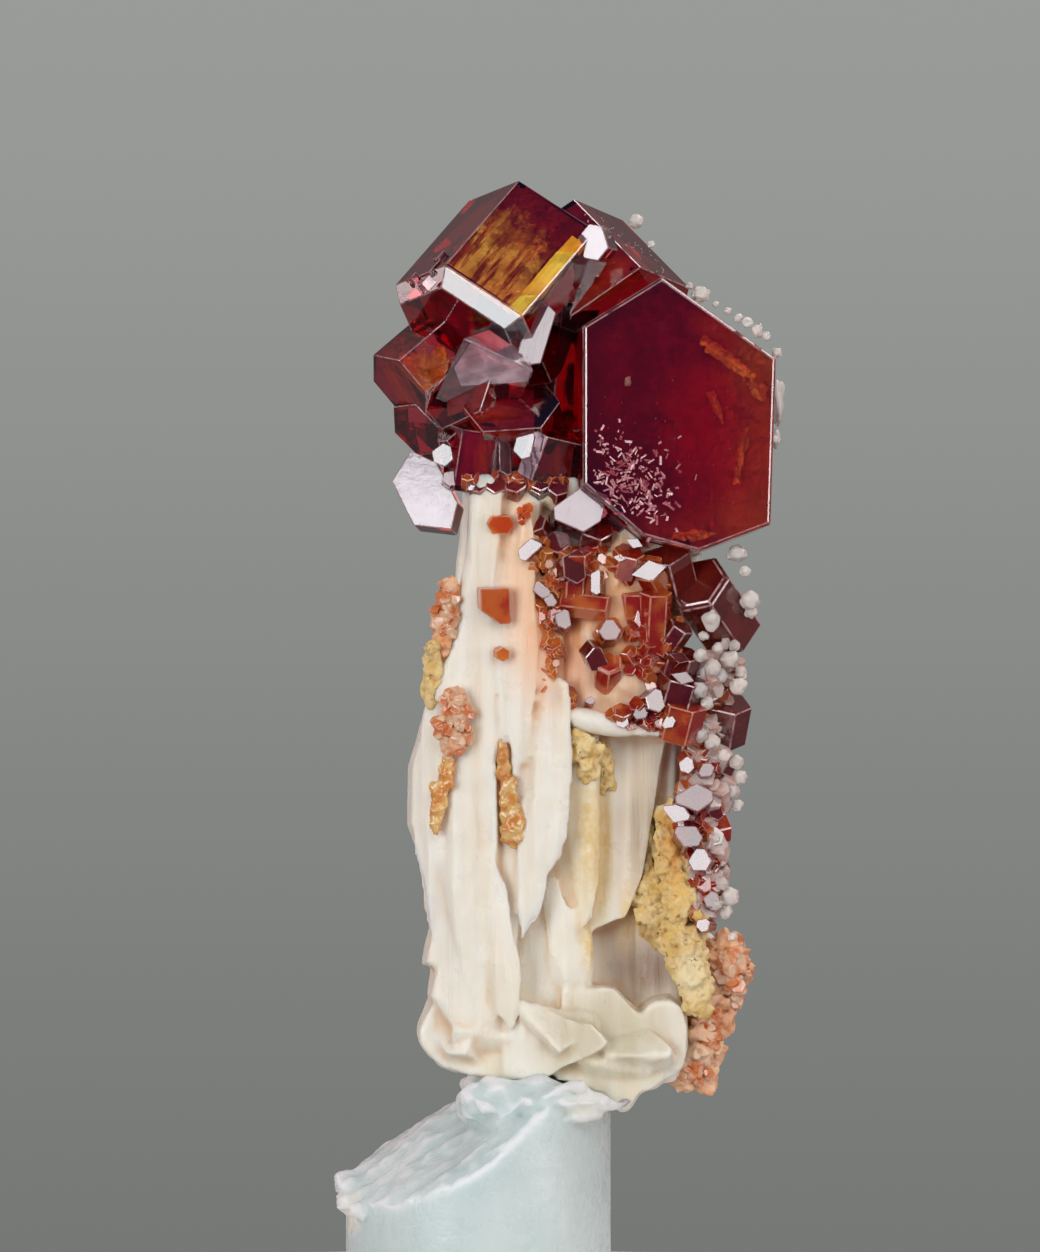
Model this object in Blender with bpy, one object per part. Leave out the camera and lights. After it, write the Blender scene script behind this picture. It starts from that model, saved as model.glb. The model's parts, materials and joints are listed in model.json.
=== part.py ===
"""Vanadinite crystals on a tall piece of bladed barite, standing on the cut end of a glue stick.

The origin is the centre of the stick's flat lower end, +Z is up and -Y is the front. Sizes below are in
millimetres and become metres when a mesh is made.
"""

import math
import random
from dataclasses import dataclass

import bmesh
import bpy
from mathutils import Vector, noise

MM = 0.001
SOCKET_GAP = 0.3            # between a crystal and the stone that it sits in
SIXTHS = (0, 60, 120, 180, 240, 300)
CRYSTAL_BLOCK = 40.0        # the block that a crystal is cut from
BEVEL_LEAN = 0.9            # how far a sloping facet leans towards the crystal's end
UNEVEN = 0.3                # how far a lump's surface swells, as a share of its half size
LUMP_GRAIN = 1.7            # how many swellings there are across a lump
RIDGE_SIDES = 7
RIDGE_STEP = 0.75           # height between the rings of a ridge
RIDGE_SPARE = 1.2           # a ridge's socket is this much wider than a crystal's
PEG_BEVEL = 0.7

STICK_RADIUS = 5.56
STICK_SIDES = 40
STICK_BLANK = 12.0          # length of the stick before it is cut
STICK_CUTS = (              # a point on each cut across the stick, and the way the cut faces
    ((0.4, 0.0, 9.0), (-0.68, 0.0, 1.0)),
    ((0.4, -1.0, 9.0), (-0.68, -0.68, 1.0)),
    ((0.4, 1.8, 9.0), (-0.68, 0.50, 1.0)),
    ((0.4, 0.0, 8.9), (0.21, 0.0, 1.0)),
)


@dataclass(frozen=True)
class Crystal:
    """A six-sided prism with flat ends.

    base is the middle of its near end, aim the way that end faces, and facing the rough direction of its
    first side face. flats is the distance from the axis to the side faces, one for all or one each, at
    the given angles round the axis, and bevel the width of the sloping facets round the near end.
    """

    base: tuple
    aim: tuple
    facing: tuple
    flats: object
    length: float
    bevel: float = 0.0
    angles: tuple = SIXTHS

    def planes(self, grow):
        """The half spaces that bound the crystal, each as a point and an outward direction."""
        aim = Vector(self.aim).normalized()
        first = Vector(self.facing)
        first = (first - first.dot(aim) * aim).normalized()
        second = aim.cross(first)
        base = Vector(self.base)
        flats = self.flats if isinstance(self.flats, tuple) else (self.flats,) * len(self.angles)
        yield base + aim * grow, aim
        yield base - aim * (self.length + grow), -aim
        for angle, flat in zip(self.angles, flats):
            side = math.cos(math.radians(angle)) * first + math.sin(math.radians(angle)) * second
            yield base + side * (flat + grow), side
            if self.bevel:
                slope = (side + aim * BEVEL_LEAN).normalized()
                yield base + side * (flat - self.bevel) + slope * grow, slope


@dataclass(frozen=True)
class Lump:
    """A rough ball of glue: its middle, its half sizes along X, Y and Z, and its own unevenness."""

    centre: tuple
    radii: tuple
    seed: float = 0.0


@dataclass(frozen=True)
class Ridge:
    """An uneven upright crust: from the top down, X, Y, Z and the half widths along X and Y."""

    stations: tuple
    seed: int


@dataclass(frozen=True)
class Blade:
    """A barite plate: its outline in X and Z, where its front and back lie in Y, and its turn about +Z."""

    outline: tuple
    front: float
    back: float
    turn: float = 0.0
    edge: float = 0.35


FRONT_LEFT = (0.10, -0.87, 0.49)
CROWN = (
    Crystal((-0.5, -1.2, 39.9), (-0.57, -0.46, -0.68), FRONT_LEFT, (3.4, 3.4, 3.7, 3.4, 3.4, 3.4), 6.05, 0.6),
    Crystal((8.4, -4.2, 36.7), (0.10, -0.99, 0.05), (1, 0, 0), (3.95, 4.4, 5.4, 4.05, 4.75, 5.15, 5.45),
            6.0, 0.12, (-2, 55, 122, 180, 229, 255, 291)),
    Crystal((6.0, 1.0, 40.3), (0.56, -0.57, -0.60), (0.59, -0.23, 0.77), 3.15, 5.0),
    Crystal((-3.3, -1.4, 38.1), (-0.67, -0.46, -0.59), (-0.37, -0.49, 0.80), 1.5, 3.6),
    Crystal((-2.6, -0.6, 36.3), (-0.60, -0.60, -0.53), (-0.40, -0.30, 0.80), 1.2, 3.0),
    Crystal((-0.9, -2.3, 38.2), (-0.61, -0.73, 0.32), (0.73, -0.67, -0.13), 1.76, 3.5),
    Crystal((1.1, -3.4, 39.9), (0.36, -0.60, 0.72), (0.23, 0.80, 0.55), (1.0, 0.9, 1.9, 1.0, 1.9, 0.9), 3.4),
    Crystal((1.3, -3.4, 37.2), (-0.10, -0.75, 0.66), (0, 0.66, 0.75), (1.1, 1.8, 1.6, 1.3, 1.8, 1.9), 3.0),
    Crystal((3.5, 0.0, 43.0), (0.08, -0.10, 0.98), (-0.45, -0.90, 0.0), 1.7, 10.0),
    Crystal((0.15, -2.5, 36.3), (0.15, -0.12, 0.98), (-0.20, -1, -0.1), (1.3, 1.3, 1.2, 1.3, 1.0, 1.3), 2.6),
    Crystal((3.45, -3.2, 36.1), (0.33, -0.26, 0.90), (0.42, -0.90, -0.1), (1.0, 1.35, 1.3, 1.2, 1.1, 1.4), 2.0),
    Crystal((-2.0, -2.9, 33.6), (-0.20, -0.95, 0.20), (1, 0, 0), (1.25, 0.85, 1.3, 1.7, 1.2, 1.4), 1.3, 0,
            (-15, 27, 63, 148, 206, 261)),
    Crystal((4.25, -4.3, 32.9), (0.10, -0.97, 0.20), (1, 0, 0), (0.95, 1.0, 0.75, 1.1, 0.8, 0.85), 2.8, 0,
            (-14, 71, 127, 184, 247, 303)),
    Crystal((-1.3, -3.0, 36.1), (-0.5, -0.5, 0.7), (1, 0, 0), 0.45, 2.0),
    Crystal((-1.5, -3.1, 35.2), (-0.7, -0.7, 0.1), (0, 0, 1), 0.4, 2.0),
    Crystal((5.6, -3.4, 33.2), (-0.3, -0.9, -0.2), (0.4, 0, 1), 1.1, 2.4),
    Crystal((2.6, -3.3, 34.3), (0.2, -0.8, 0.5), (1, 0, 0), 0.8, 2.2),
    Crystal((1.2, 4.2, 39.3), (-0.20, 0.85, 0.48), (1, 0, 0), 2.3, 5.0, 0.3),
    Crystal((6.9, 4.4, 36.3), (0.35, 0.90, 0.10), (0, 0, 1), 2.6, 4.5, 0.35),
    Crystal((2.8, 4.0, 34.6), (-0.30, 0.80, -0.40), (1, 0, 0.3), 1.4, 3.5),
    Crystal((-1.8, 2.2, 36.4), (-0.80, 0.50, 0.10), (0, 0, 1), 1.4, 3.5),
    Crystal((10.6, 1.6, 34.6), (0.85, 0.40, -0.10), (0, 0, 1), 1.5, 3.5),
)

SLOPE = (
    Crystal((4.05, -3.9, 31.2), (0.05, -0.35, 0.94), (0.1, -1, 0), 0.62, 1.9),
    Crystal((2.45, -3.6, 31.5), (-0.62, -0.40, 0.68), (0.5, -0.7, 0.3), (0.42, 0.5, 0.5, 0.42, 0.5, 0.5), 1.2),
    Crystal((4.85, -3.7, 30.3), (0.1, -0.3, 0.95), (-0.4, -0.9, 0.1), 0.42, 1.1),
    Crystal((5.45, -3.7, 28.8), (0.96, -0.20, -0.12), (0, -0.9, 0.3), 0.52, 2.0),
    Crystal((3.2, -3.6, 30.0), (-0.2, -0.8, 0.4), (1, 0, 0), 0.45, 1.2),
    Crystal((3.4, -3.8, 28.5), (0.15, -0.9, 0.25), (1, 0, 0), 0.42, 1.2),
    Crystal((3.1, -3.6, 27.4), (-0.2, -0.7, 0.6), (1, 0, 0), 0.36, 1.1),
    Crystal((2.95, -3.5, 26.4), (0.3, -0.7, 0.5), (1, 0, 0), 0.36, 1.1),
    Crystal((3.2, -3.5, 25.4), (-0.6, -0.6, 0.2), (0, 0, 1), 0.36, 1.3),
    Crystal((5.5, -3.9, 27.95), (0.25, -0.90, 0.35), (0.75, 0, 0.5), 0.55, 1.4),
    Crystal((5.45, -4.1, 26.6), (0.05, -0.80, 0.60), (1, 0, 0), 0.55, 2.2, 0.08),
    Crystal((6.3, -3.6, 31.2), (0.20, -0.50, 0.84), (0.1, -1, 0.3), 0.60, 1.1),
    Crystal((7.1, -3.8, 30.5), (-0.30, -0.80, 0.52), (1, 0, 0.2), 0.62, 1.3),
    Crystal((5.7, -3.5, 30.9), (-0.40, -0.60, 0.70), (1, 0, 0.2), 0.48, 1.4),
    Crystal((7.4, -3.7, 29.5), (0.05, -0.30, 0.95), (0.2, -1, 0), 0.62, 2.8),
    Crystal((6.55, -3.3, 29.5), (-0.05, -0.25, 0.96), (-0.2, -1, 0), 0.60, 1.8),
    Crystal((8.45, -3.4, 27.0), (0.25, -0.35, 0.90), (0.1, -1, 0.3), 0.80, 1.2),
    Crystal((8.55, -3.6, 26.0), (0.25, -0.35, 0.90), (0.1, -1, 0.3), 0.90, 1.2),
    Crystal((8.60, -3.6, 24.9), (0.22, -0.35, 0.91), (0.0, -1, 0.3), 0.86, 1.6),
    Crystal((8.50, -3.5, 28.0), (0.50, -0.40, 0.75), (0, -1, 0), 0.45, 1.2),
    Crystal((7.2, -3.5, 25.2), (-0.3, -0.6, 0.7), (0.1, -1, 0.3), 0.62, 1.4),
    Crystal((7.9, -3.4, 26.9), (-0.3, -0.5, 0.8), (0.1, -1, 0.3), 0.60, 2.0),
)

SINGLES = {
    "flank_crystal_upper": Crystal((9.1, -2.9, 29.9), (-0.40, -0.72, 0.56), (0.8, 0, 0.5), 1.25, 3.6, 0.15),
    "face_crystal_red": Crystal((0.75, -4.5, 28.9), (0.05, -0.97, 0.20), (1, 0, 0), 0.62, 1.6),
    "face_crystal_amber": Crystal((0.95, -4.0, 32.3), (0.05, -0.90, 0.40), (0, 0, 1), 0.42, 1.4),
    "face_crystal_speck": Crystal((1.05, -4.2, 26.9), (0.05, -0.97, 0.20), (1, 0, 0), 0.27, 0.9),
    "back_crystal_upper": Crystal((5.2, 5.2, 29.4), (0.20, 0.90, 0.35), (1, 0, 0), 1.20, 2.6, 0.15),
    "back_crystal_middle": Crystal((2.1, 5.1, 26.2), (-0.35, 0.90, 0.10), (1, 0, 0), 0.80, 2.0),
    "back_crystal_low": Crystal((6.3, 4.9, 19.6), (0.30, 0.90, 0.20), (1, 0, 0), 0.70, 2.0),
}

CORE = Blade(((0.4, 36.2), (-1.0, 28.0), (-2.3, 22.0), (-1.5, 16.5), (-1.6, 10.2), (8.5, 10.2), (8.5, 15.0),
              (8.5, 26.6), (9.4, 30.0), (9.4, 36.2)), -0.6, 3.9)
BLADES = (
    Blade(((-0.3, 33.6), (-0.5, 30.8), (-0.9, 29.3), (-1.0, 27.8), (-2.2, 24.5), (-2.9, 22.2), (-2.9, 19.8),
           (-2.4, 18.4), (-1.7, 16.8), (-2.2, 14.9), (-2.1, 12.6), (-1.2, 11.2), (0.2, 12.0), (0.6, 15.3),
           (0.9, 19.1), (0.8, 22.5), (0.7, 27.2), (1.1, 33.6)), -4.0, 0.5, 5),
    Blade(((0.4, 33.6), (0.4, 12.6), (1.1, 11.4), (1.7, 13.5), (1.8, 16.2), (2.8, 17.5), (3.5, 18.9),
           (3.8, 21.2), (3.3, 24.8), (2.9, 29.2), (2.7, 33.6)), -3.5, 0.5, 8),
    Blade(((2.4, 33.6), (1.5, 12.2), (3.0, 11.8), (4.1, 13.4), (4.9, 15.6), (5.1, 18.2), (5.0, 23.6),
           (5.0, 33.6)), -2.9, 0.5, 6),
    Blade(((4.6, 33.8), (4.6, 23.6), (6.3, 23.2), (8.0, 23.4), (8.4, 24.2), (8.4, 27.4), (7.9, 28.8), (8.4, 33.8)),
          -3.2, 1.5, -3),
    Blade(((4.4, 25.0), (4.4, 12.0), (8.3, 12.0), (8.3, 16.0), (8.3, 25.0)), -0.6, 3.6, 4),
    Blade(((-0.6, 34.0), (-1.6, 24.0), (-1.2, 14.0), (2.4, 12.5), (3.2, 22.0), (2.9, 34.0)), 2.5, 4.7, -6),
    Blade(((7.8, 26.0), (7.8, 16.4), (9.3, 17.0), (9.6, 21.0), (9.4, 25.5)), 2.6, 4.2),
    Blade(((4.2, 33.0), (3.6, 24.0), (4.4, 13.0), (7.6, 13.5), (8.3, 24.0), (7.6, 33.0)), 2.6, 4.5, 7),
)

FOOT = (
    Blade(((-2.6, 11.2), (-2.5, 10.6), (-1.6, 9.6), (-0.3, 9.2), (1.2, 9.2), (2.6, 9.2), (2.6, 11.4), (1.0, 13.0),
           (-1.8, 12.9)), -3.3, 1.8, 8),
    Blade(((1.0, 12.3), (3.2, 12.2), (4.6, 11.8), (5.5, 10.8), (4.6, 9.8), (2.4, 9.2), (1.0, 9.6)),
          -4.0, 0.8, -12),
    Blade(((3.6, 13.0), (6.9, 12.3), (7.7, 12.8), (8.5, 12.4), (8.6, 11.4), (8.5, 10.2), (8.1, 9.5), (7.3, 8.9),
           (6.7, 8.2), (6.3, 7.9), (5.95, 8.5), (5.2, 9.2), (3.2, 9.2)), -3.0, 2.4, 5),
    Blade(((-1.2, 12.6), (-0.8, 9.9), (2.0, 9.4), (6.4, 9.6), (7.6, 12.6)), 0.6, 4.2, -4),
    Blade(((7.2, 15.5), (7.6, 9.4), (8.6, 9.2), (9.5, 10.2), (10.2, 12.6), (10.4, 14.4), (9.6, 15.4)), -0.1, 2.6),
)
PEG = (0.9, 4.7, -2.4, 2.2, 7.4, 10.4)      # the foot's lowest lump: X, Y and Z limits, sunk in the glue

FLANK_SLAB = Blade(((8.9, 26.2), (9.6, 26.2), (9.9, 25.0), (9.7, 22.0), (9.7, 19.0), (9.5, 17.4), (9.6, 15.9),
                    (8.95, 15.9)), -1.8, 2.2, 0, 0.2)
FLANK = (
    Crystal((10.4, -1.6, 24.9), (0.15, -0.45, 0.88), (-0.1, -1, 0), 0.95, 1.8),
    Crystal((9.25, -2.2, 22.9), (0.10, -0.55, 0.80), (0, -1, 0.2), 0.62, 1.6),
    Crystal((9.0, -2.5, 20.9), (0.10, -0.95, 0.25), (0, 0, 1), 0.62, 1.8),
    Crystal((8.5, -2.4, 21.3), (-0.60, -0.75, 0.25), (0, 0, 1), 0.40, 1.4),
    Crystal((8.9, -2.4, 19.7), (0.45, -0.85, 0.15), (0.5, 0, 1), 0.58, 1.6),
    Crystal((9.35, -2.3, 18.5), (0.20, -0.90, 0.30), (1, 0, 0.3), 0.45, 1.4),
    Crystal((10.2, -1.9, 20.9), (0.75, -0.60, 0.25), (0, 0, 1), 0.62, 1.6),
    Crystal((10.3, -1.6, 22.6), (0.80, -0.55, 0.20), (0, 0.5, 1), 0.50, 1.6),
    Crystal((9.9, -1.9, 17.2), (0.50, -0.80, 0.30), (1, 0, 1), 0.52, 1.4),
    Crystal((9.4, -2.2, 16.9), (-0.20, -0.90, 0.40), (1, 0, 0), 0.40, 1.3),
    Crystal((10.4, -0.6, 18.0), (0.90, -0.30, 0.20), (0, 0, 1), 0.50, 1.4),
    Crystal((10.6, 0.2, 24.0), (0.90, 0.20, 0.30), (0, 0, 1), 0.62, 1.8),
    Crystal((10.5, 0.4, 21.6), (0.92, 0.10, -0.25), (0, 0, 1), 0.55, 1.6),
    Crystal((10.4, 1.4, 19.6), (0.85, 0.40, 0.20), (0, 0, 1), 0.60, 1.6),
    Crystal((10.2, 1.3, 17.3), (0.88, 0.35, -0.15), (0, 0, 1), 0.45, 1.3),
    Crystal((10.3, 1.6, 22.7), (0.80, 0.50, 0.25), (0, 0, 1), 0.50, 1.5),
)

FOOT_CRUST = Ridge(((10.3, -0.2, 14.9, 0.5, 0.6), (10.4, -0.3, 13.6, 1.0, 1.0), (10.0, -0.3, 12.2, 0.9, 1.0),
                    (9.4, -0.4, 10.9, 0.9, 0.9), (9.0, -0.6, 9.6, 0.9, 0.8), (8.8, -0.6, 8.9, 0.5, 0.5)), 60)
FOOT_CRYSTALS = (
    Crystal((10.9, -1.5, 14.0), (0.30, -0.90, 0.30), (1, 0, 0), 0.40, 1.2),
    Crystal((10.2, -1.4, 14.7), (-0.20, -0.70, 0.70), (1, 0, 0), 0.36, 1.1),
    Crystal((10.9, -1.4, 12.9), (0.50, -0.80, -0.20), (0, 0, 1), 0.40, 1.2),
    Crystal((9.7, -1.5, 11.4), (0.30, -0.90, 0.10), (1, 0, 0), 0.34, 1.1),
    Crystal((9.2, -1.6, 10.0), (0.20, -0.90, -0.20), (1, 0, 0), 0.34, 1.1),
)

OCHRE_CRUST = Ridge(((7.0, -1.2, 18.9, 0.35, 0.35), (7.2, -1.2, 17.6, 0.55, 0.5), (7.4, -1.3, 16.0, 0.75, 0.6),
                     (8.1, -1.7, 15.0, 0.95, 0.8), (8.8, -2.2, 14.2, 0.85, 0.8), (9.1, -2.4, 13.2, 0.55, 0.6),
                     (9.1, -2.3, 12.3, 0.30, 0.35)), 80)
SHOULDER_CRUST = Ridge(((-1.1, -3.1, 29.9, 0.25, 0.3), (-1.25, -3.1, 29.0, 0.50, 0.5), (-1.5, -3.0, 27.9, 0.55, 0.5),
                        (-1.85, -2.9, 26.7, 0.45, 0.45), (-2.05, -2.8, 25.2, 0.25, 0.3)), 100)
SHOULDER_CRYSTALS = (
    Crystal((-1.1, -3.8, 29.2), (0.10, -0.90, 0.40), (1, 0, 0), 0.36, 1.2),
    Crystal((-1.5, -3.8, 28.3), (-0.40, -0.85, 0.20), (1, 0, 0), 0.32, 1.1),
    Crystal((-1.9, -3.2, 27.8), (-0.85, -0.40, 0.20), (0, 0, 1), 0.30, 1.1),
)
ROSETTE_CRUST = Ridge(((-0.9, -4.0, 25.3, 0.4, 0.3), (-0.95, -4.0, 24.1, 0.65, 0.5), (-1.05, -4.0, 22.9, 0.4, 0.3)),
                      120)
ROSETTE_SPOTS = 9
ROSETTE_TURN = 137.5        # degrees from one crystal to the next
ROSETTE_BULGE = 0.25        # how far its rim lies behind its middle
ROSETTE_FAN = 0.9           # how far the crystals at its rim lean out
ROSETTE_FLATS = 0.30
ROSETTE_LENGTH = 1.0
ROSETTE_HALF_WIDTH = 0.75
ROSETTE_HALF_HEIGHT = 1.35
ROSETTE_CENTRE = (-0.95, -4.35, 24.05)
GROOVE_CRUST = Ridge(((1.1, -3.6, 22.7, 0.22, 0.3), (1.3, -3.6, 21.4, 0.42, 0.45), (1.45, -3.6, 20.1, 0.48, 0.45),
                      (1.5, -3.6, 19.0, 0.25, 0.3)), 130)
AMBER_CRUST = Ridge(((-1.2, -4.05, 22.3, 0.22, 0.3), (-1.45, -4.05, 21.6, 0.42, 0.4), (-1.7, -4.0, 20.6, 0.35, 0.35),
                     (-1.8, -3.95, 19.9, 0.2, 0.25)), 140)
SLOPE_LEFT = Ridge(((3.2, -3.2, 30.3, 0.25, 0.3), (3.15, -3.1, 29.0, 0.45, 0.45), (3.0, -3.1, 27.0, 0.40, 0.45),
                    (3.2, -3.1, 25.0, 0.25, 0.3)), 50)
SLOPE_LEDGE = Ridge(((4.8, -3.2, 30.9, 0.5, 0.4), (5.8, -3.2, 30.0, 0.9, 0.5), (5.9, -3.1, 28.0, 1.6, 0.5),
                     (6.9, -3.1, 26.0, 1.3, 0.5), (8.0, -3.1, 24.0, 0.6, 0.4)), 51)

COLLAR_LUMPS = (
    Lump((0.7, -4.2, 7.6), (1.2, 0.9, 0.9), 31), Lump((3.1, -3.6, 8.0), (1.3, 1.1, 0.6), 32),
    Lump((4.4, 1.6, 7.8), (0.9, 1.6, 0.6), 33), Lump((1.6, 3.9, 8.1), (1.6, 1.0, 0.7), 34),
)
LIP_LUMPS = (
    Lump((-5.6, -0.7, 4.6), (0.55, 1.1, 0.60), 35), Lump((-5.2, -2.0, 3.9), (0.60, 0.7, 0.40), 36),
)


def remove_scene_objects():
    """Start from an empty scene."""
    for item in list(bpy.data.objects):
        bpy.data.objects.remove(item, do_unlink=True)


def principled(name, colour, roughness, transmission=0.0):
    """A plain Principled material."""
    material = bpy.data.materials.new(name)
    material.use_nodes = True
    shader = material.node_tree.nodes["Principled BSDF"]
    shader.inputs["Base Color"].default_value = (*colour, 1)
    shader.inputs["Roughness"].default_value = roughness
    shader.inputs["Metallic"].default_value = 0.0
    shader.inputs["Transmission Weight"].default_value = transmission
    return material


def to_object(name, bm, collection=None):
    """Turn a bmesh in millimetres into an object in metres."""
    bmesh.ops.recalc_face_normals(bm, faces=bm.faces[:])
    bmesh.ops.scale(bm, vec=(MM, MM, MM), verts=bm.verts[:])
    mesh = bpy.data.meshes.new(name)
    bm.to_mesh(mesh)
    bm.free()
    item = bpy.data.objects.new(name, mesh)
    (collection or bpy.context.scene.collection).objects.link(item)
    return item


def helpers(name):
    """A collection for the hidden shapes that a Boolean reads."""
    collection = bpy.data.collections.new(name)
    bpy.context.scene.collection.children.link(collection)
    return collection


def add_helper(name, bm, collection):
    """Put a shape into a collection of hidden shapes."""
    item = to_object(name, bm, collection)
    item.hide_render = True
    item.display_type = "WIRE"


def boolean(body, operation, collection):
    """Join or cut a body with every shape in a collection."""
    modifier = body.modifiers.new(collection.name, "BOOLEAN")
    modifier.operation = operation
    modifier.operand_type = "COLLECTION"
    modifier.collection = collection


def cut_away(bm, point, outward):
    """Cut a closed shape with a plane, drop what lies outside it and close the cut."""
    cut = bmesh.ops.bisect_plane(bm, geom=bm.verts[:] + bm.edges[:] + bm.faces[:], dist=1e-5,
                                 plane_co=point, plane_no=outward, clear_outer=True)
    rim = [part for part in cut["geom_cut"] if isinstance(part, bmesh.types.BMEdge)]
    if rim:
        bmesh.ops.edgeloop_fill(bm, edges=rim)


def crystal_bmesh(crystal, grow=0.0):
    """Cut a crystal out of a block, face by face."""
    bm = bmesh.new()
    bmesh.ops.create_cube(bm, size=CRYSTAL_BLOCK)
    bmesh.ops.translate(bm, vec=Vector(crystal.base), verts=bm.verts[:])
    for point, outward in crystal.planes(grow):
        cut_away(bm, point, outward)
    return bm


def blade_bmesh(blade):
    """Extrude a plate's outline and bevel the rims of its two broad faces."""
    bm = bmesh.new()
    front = [bm.verts.new((x, blade.front, z)) for x, z in blade.outline]
    face = bm.faces.new(front)
    swept = bmesh.ops.extrude_face_region(bm, geom=[face])
    back = [part for part in swept["geom"] if isinstance(part, bmesh.types.BMVert)]
    bmesh.ops.translate(bm, vec=(0, blade.back - blade.front, 0), verts=back)
    bmesh.ops.recalc_face_normals(bm, faces=bm.faces[:])
    rims = [edge for edge in bm.edges if abs(edge.verts[0].co.y - edge.verts[1].co.y) < 1e-6]
    bmesh.ops.bevel(bm, geom=rims, offset=blade.edge, offset_type="OFFSET", segments=1, profile=0.5,
                    affect="EDGES", material=-1)
    middle = sum((Vector((x, 0, z)) for x, z in blade.outline), Vector()) / len(blade.outline)
    centre = Vector((middle.x, (blade.front + blade.back) / 2, middle.z))
    turned = (Vector((math.cos(math.radians(blade.turn)), math.sin(math.radians(blade.turn)), 0)),
              Vector((-math.sin(math.radians(blade.turn)), math.cos(math.radians(blade.turn)), 0)))
    for vert in bm.verts:
        local = vert.co - centre
        vert.co = centre + turned[0] * local.x + turned[1] * local.y + Vector((0, 0, local.z))
    return bm


def block_bmesh(limits, grow=0.0):
    """A bevelled block between X, Y and Z limits."""
    x0, x1, y0, y1, z0, z1 = limits
    bm = bmesh.new()
    bmesh.ops.create_cube(bm, size=1.0)
    size = Vector((x1 - x0, y1 - y0, z1 - z0)) + Vector((2, 2, 2)) * grow
    bmesh.ops.scale(bm, vec=size, verts=bm.verts[:])
    bmesh.ops.translate(bm, vec=((x0 + x1) / 2, (y0 + y1) / 2, (z0 + z1) / 2), verts=bm.verts[:])
    bmesh.ops.bevel(bm, geom=bm.edges[:], offset=PEG_BEVEL, offset_type="OFFSET", segments=1, profile=0.5,
                    affect="EDGES", material=-1)
    return bm


def lump_bmesh(lump):
    """A ball with an uneven surface."""
    bm = bmesh.new()
    bmesh.ops.create_icosphere(bm, subdivisions=2, radius=1.0)
    for vert in bm.verts:
        uneven = 1.0 + UNEVEN * noise.noise(vert.co * LUMP_GRAIN + Vector((lump.seed, 2.0 * lump.seed, 0.0)))
        stretched = [axis * radius * uneven for axis, radius in zip(vert.co, lump.radii)]
        vert.co = Vector(stretched) + Vector(lump.centre)
    return bm


def ridge_bmesh(ridge, grow=0.0):
    """Level rings of uneven width from the top station to the lowest, joined and closed at both ends."""
    pick = random.Random(ridge.seed)
    stations = ridge.stations
    bm = bmesh.new()
    rings = []
    steps = max(2, round((stations[0][2] - stations[-1][2]) / RIDGE_STEP))
    for step in range(steps + 1):
        z = stations[0][2] + (stations[-1][2] - stations[0][2]) * step / steps
        before = max(index for index, station in enumerate(stations[:-1]) if station[2] >= z - 1e-6)
        upper, lower = stations[before], stations[before + 1]
        share = (upper[2] - z) / (upper[2] - lower[2])
        x, y, _, wide, deep = ((1 - share) * a + share * b for a, b in zip(upper, lower))
        if step == 0:
            z += grow
        if step == steps:
            z -= grow
        ring = []
        for side in range(RIDGE_SIDES):
            angle = math.tau * (side + 0.5 * (step % 2)) / RIDGE_SIDES
            swell = 1.0 + UNEVEN * pick.uniform(-1, 1)
            ring.append(bm.verts.new((x + math.cos(angle) * (wide * swell + RIDGE_SPARE * grow),
                                      y + math.sin(angle) * (deep * swell + RIDGE_SPARE * grow), z)))
        rings.append(ring)
    for step, (upper, lower) in enumerate(zip(rings, rings[1:])):
        ahead = step % 2
        for side in range(RIDGE_SIDES):
            after = (side + 1) % RIDGE_SIDES
            if ahead:
                bm.faces.new((upper[side], upper[after], lower[after]))
                bm.faces.new((upper[side], lower[after], lower[side]))
            else:
                bm.faces.new((upper[side], upper[after], lower[side]))
                bm.faces.new((upper[after], lower[after], lower[side]))
    bm.faces.new(rings[0])
    bm.faces.new(rings[-1])
    return bm


def rosette():
    """Small crystals fanned out over an upright oval."""
    x, y, z = ROSETTE_CENTRE
    for spot in range(ROSETTE_SPOTS):
        around = math.radians(spot * ROSETTE_TURN)
        out = math.sqrt((spot + 0.3) / ROSETTE_SPOTS)
        side, rise = math.cos(around) * out, math.sin(around) * out
        yield Crystal((x + side * ROSETTE_HALF_WIDTH, y + ROSETTE_BULGE * out, z + rise * ROSETTE_HALF_HEIGHT),
                      (side * ROSETTE_FAN, -1.0, rise * ROSETTE_FAN), (math.cos(spot), 0.0, math.sin(spot)),
                      ROSETTE_FLATS + 0.05 * (spot % 3), ROSETTE_LENGTH)


def shapes(members, grow=0.0):
    """The bmesh of each crystal, lump or blade of a cluster."""
    for member in members:
        if isinstance(member, Crystal):
            yield crystal_bmesh(member, grow)
        elif isinstance(member, Ridge):
            yield ridge_bmesh(member, grow)
        elif isinstance(member, Lump):
            yield lump_bmesh(member)
        else:
            yield blade_bmesh(member)


def cluster(name, members, material):
    """One solid of crystals and crust that grew into each other."""
    first, *rest = shapes(members)
    body = to_object(name, first)
    if rest:
        others = helpers(name + "_members")
        for index, shape in enumerate(rest, 1):
            add_helper(f"{name}_member_{index}", shape, others)
        boolean(body, "UNION", others)
    body.data.materials.append(material)
    return body


def barite(sockets, material):
    """The intergrown blades, with a socket for each crystal and crust that sits in them."""
    body = to_object("barite_matrix", blade_bmesh(CORE))
    plates = helpers("barite_plates")
    for index, blade in enumerate(BLADES + FOOT):
        add_helper(f"barite_plate_{index}", blade_bmesh(blade), plates)
    add_helper("barite_peg", block_bmesh(PEG), plates)
    boolean(body, "UNION", plates)
    boolean(body, "DIFFERENCE", sockets)
    body.data.materials.append(material)
    return body


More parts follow.
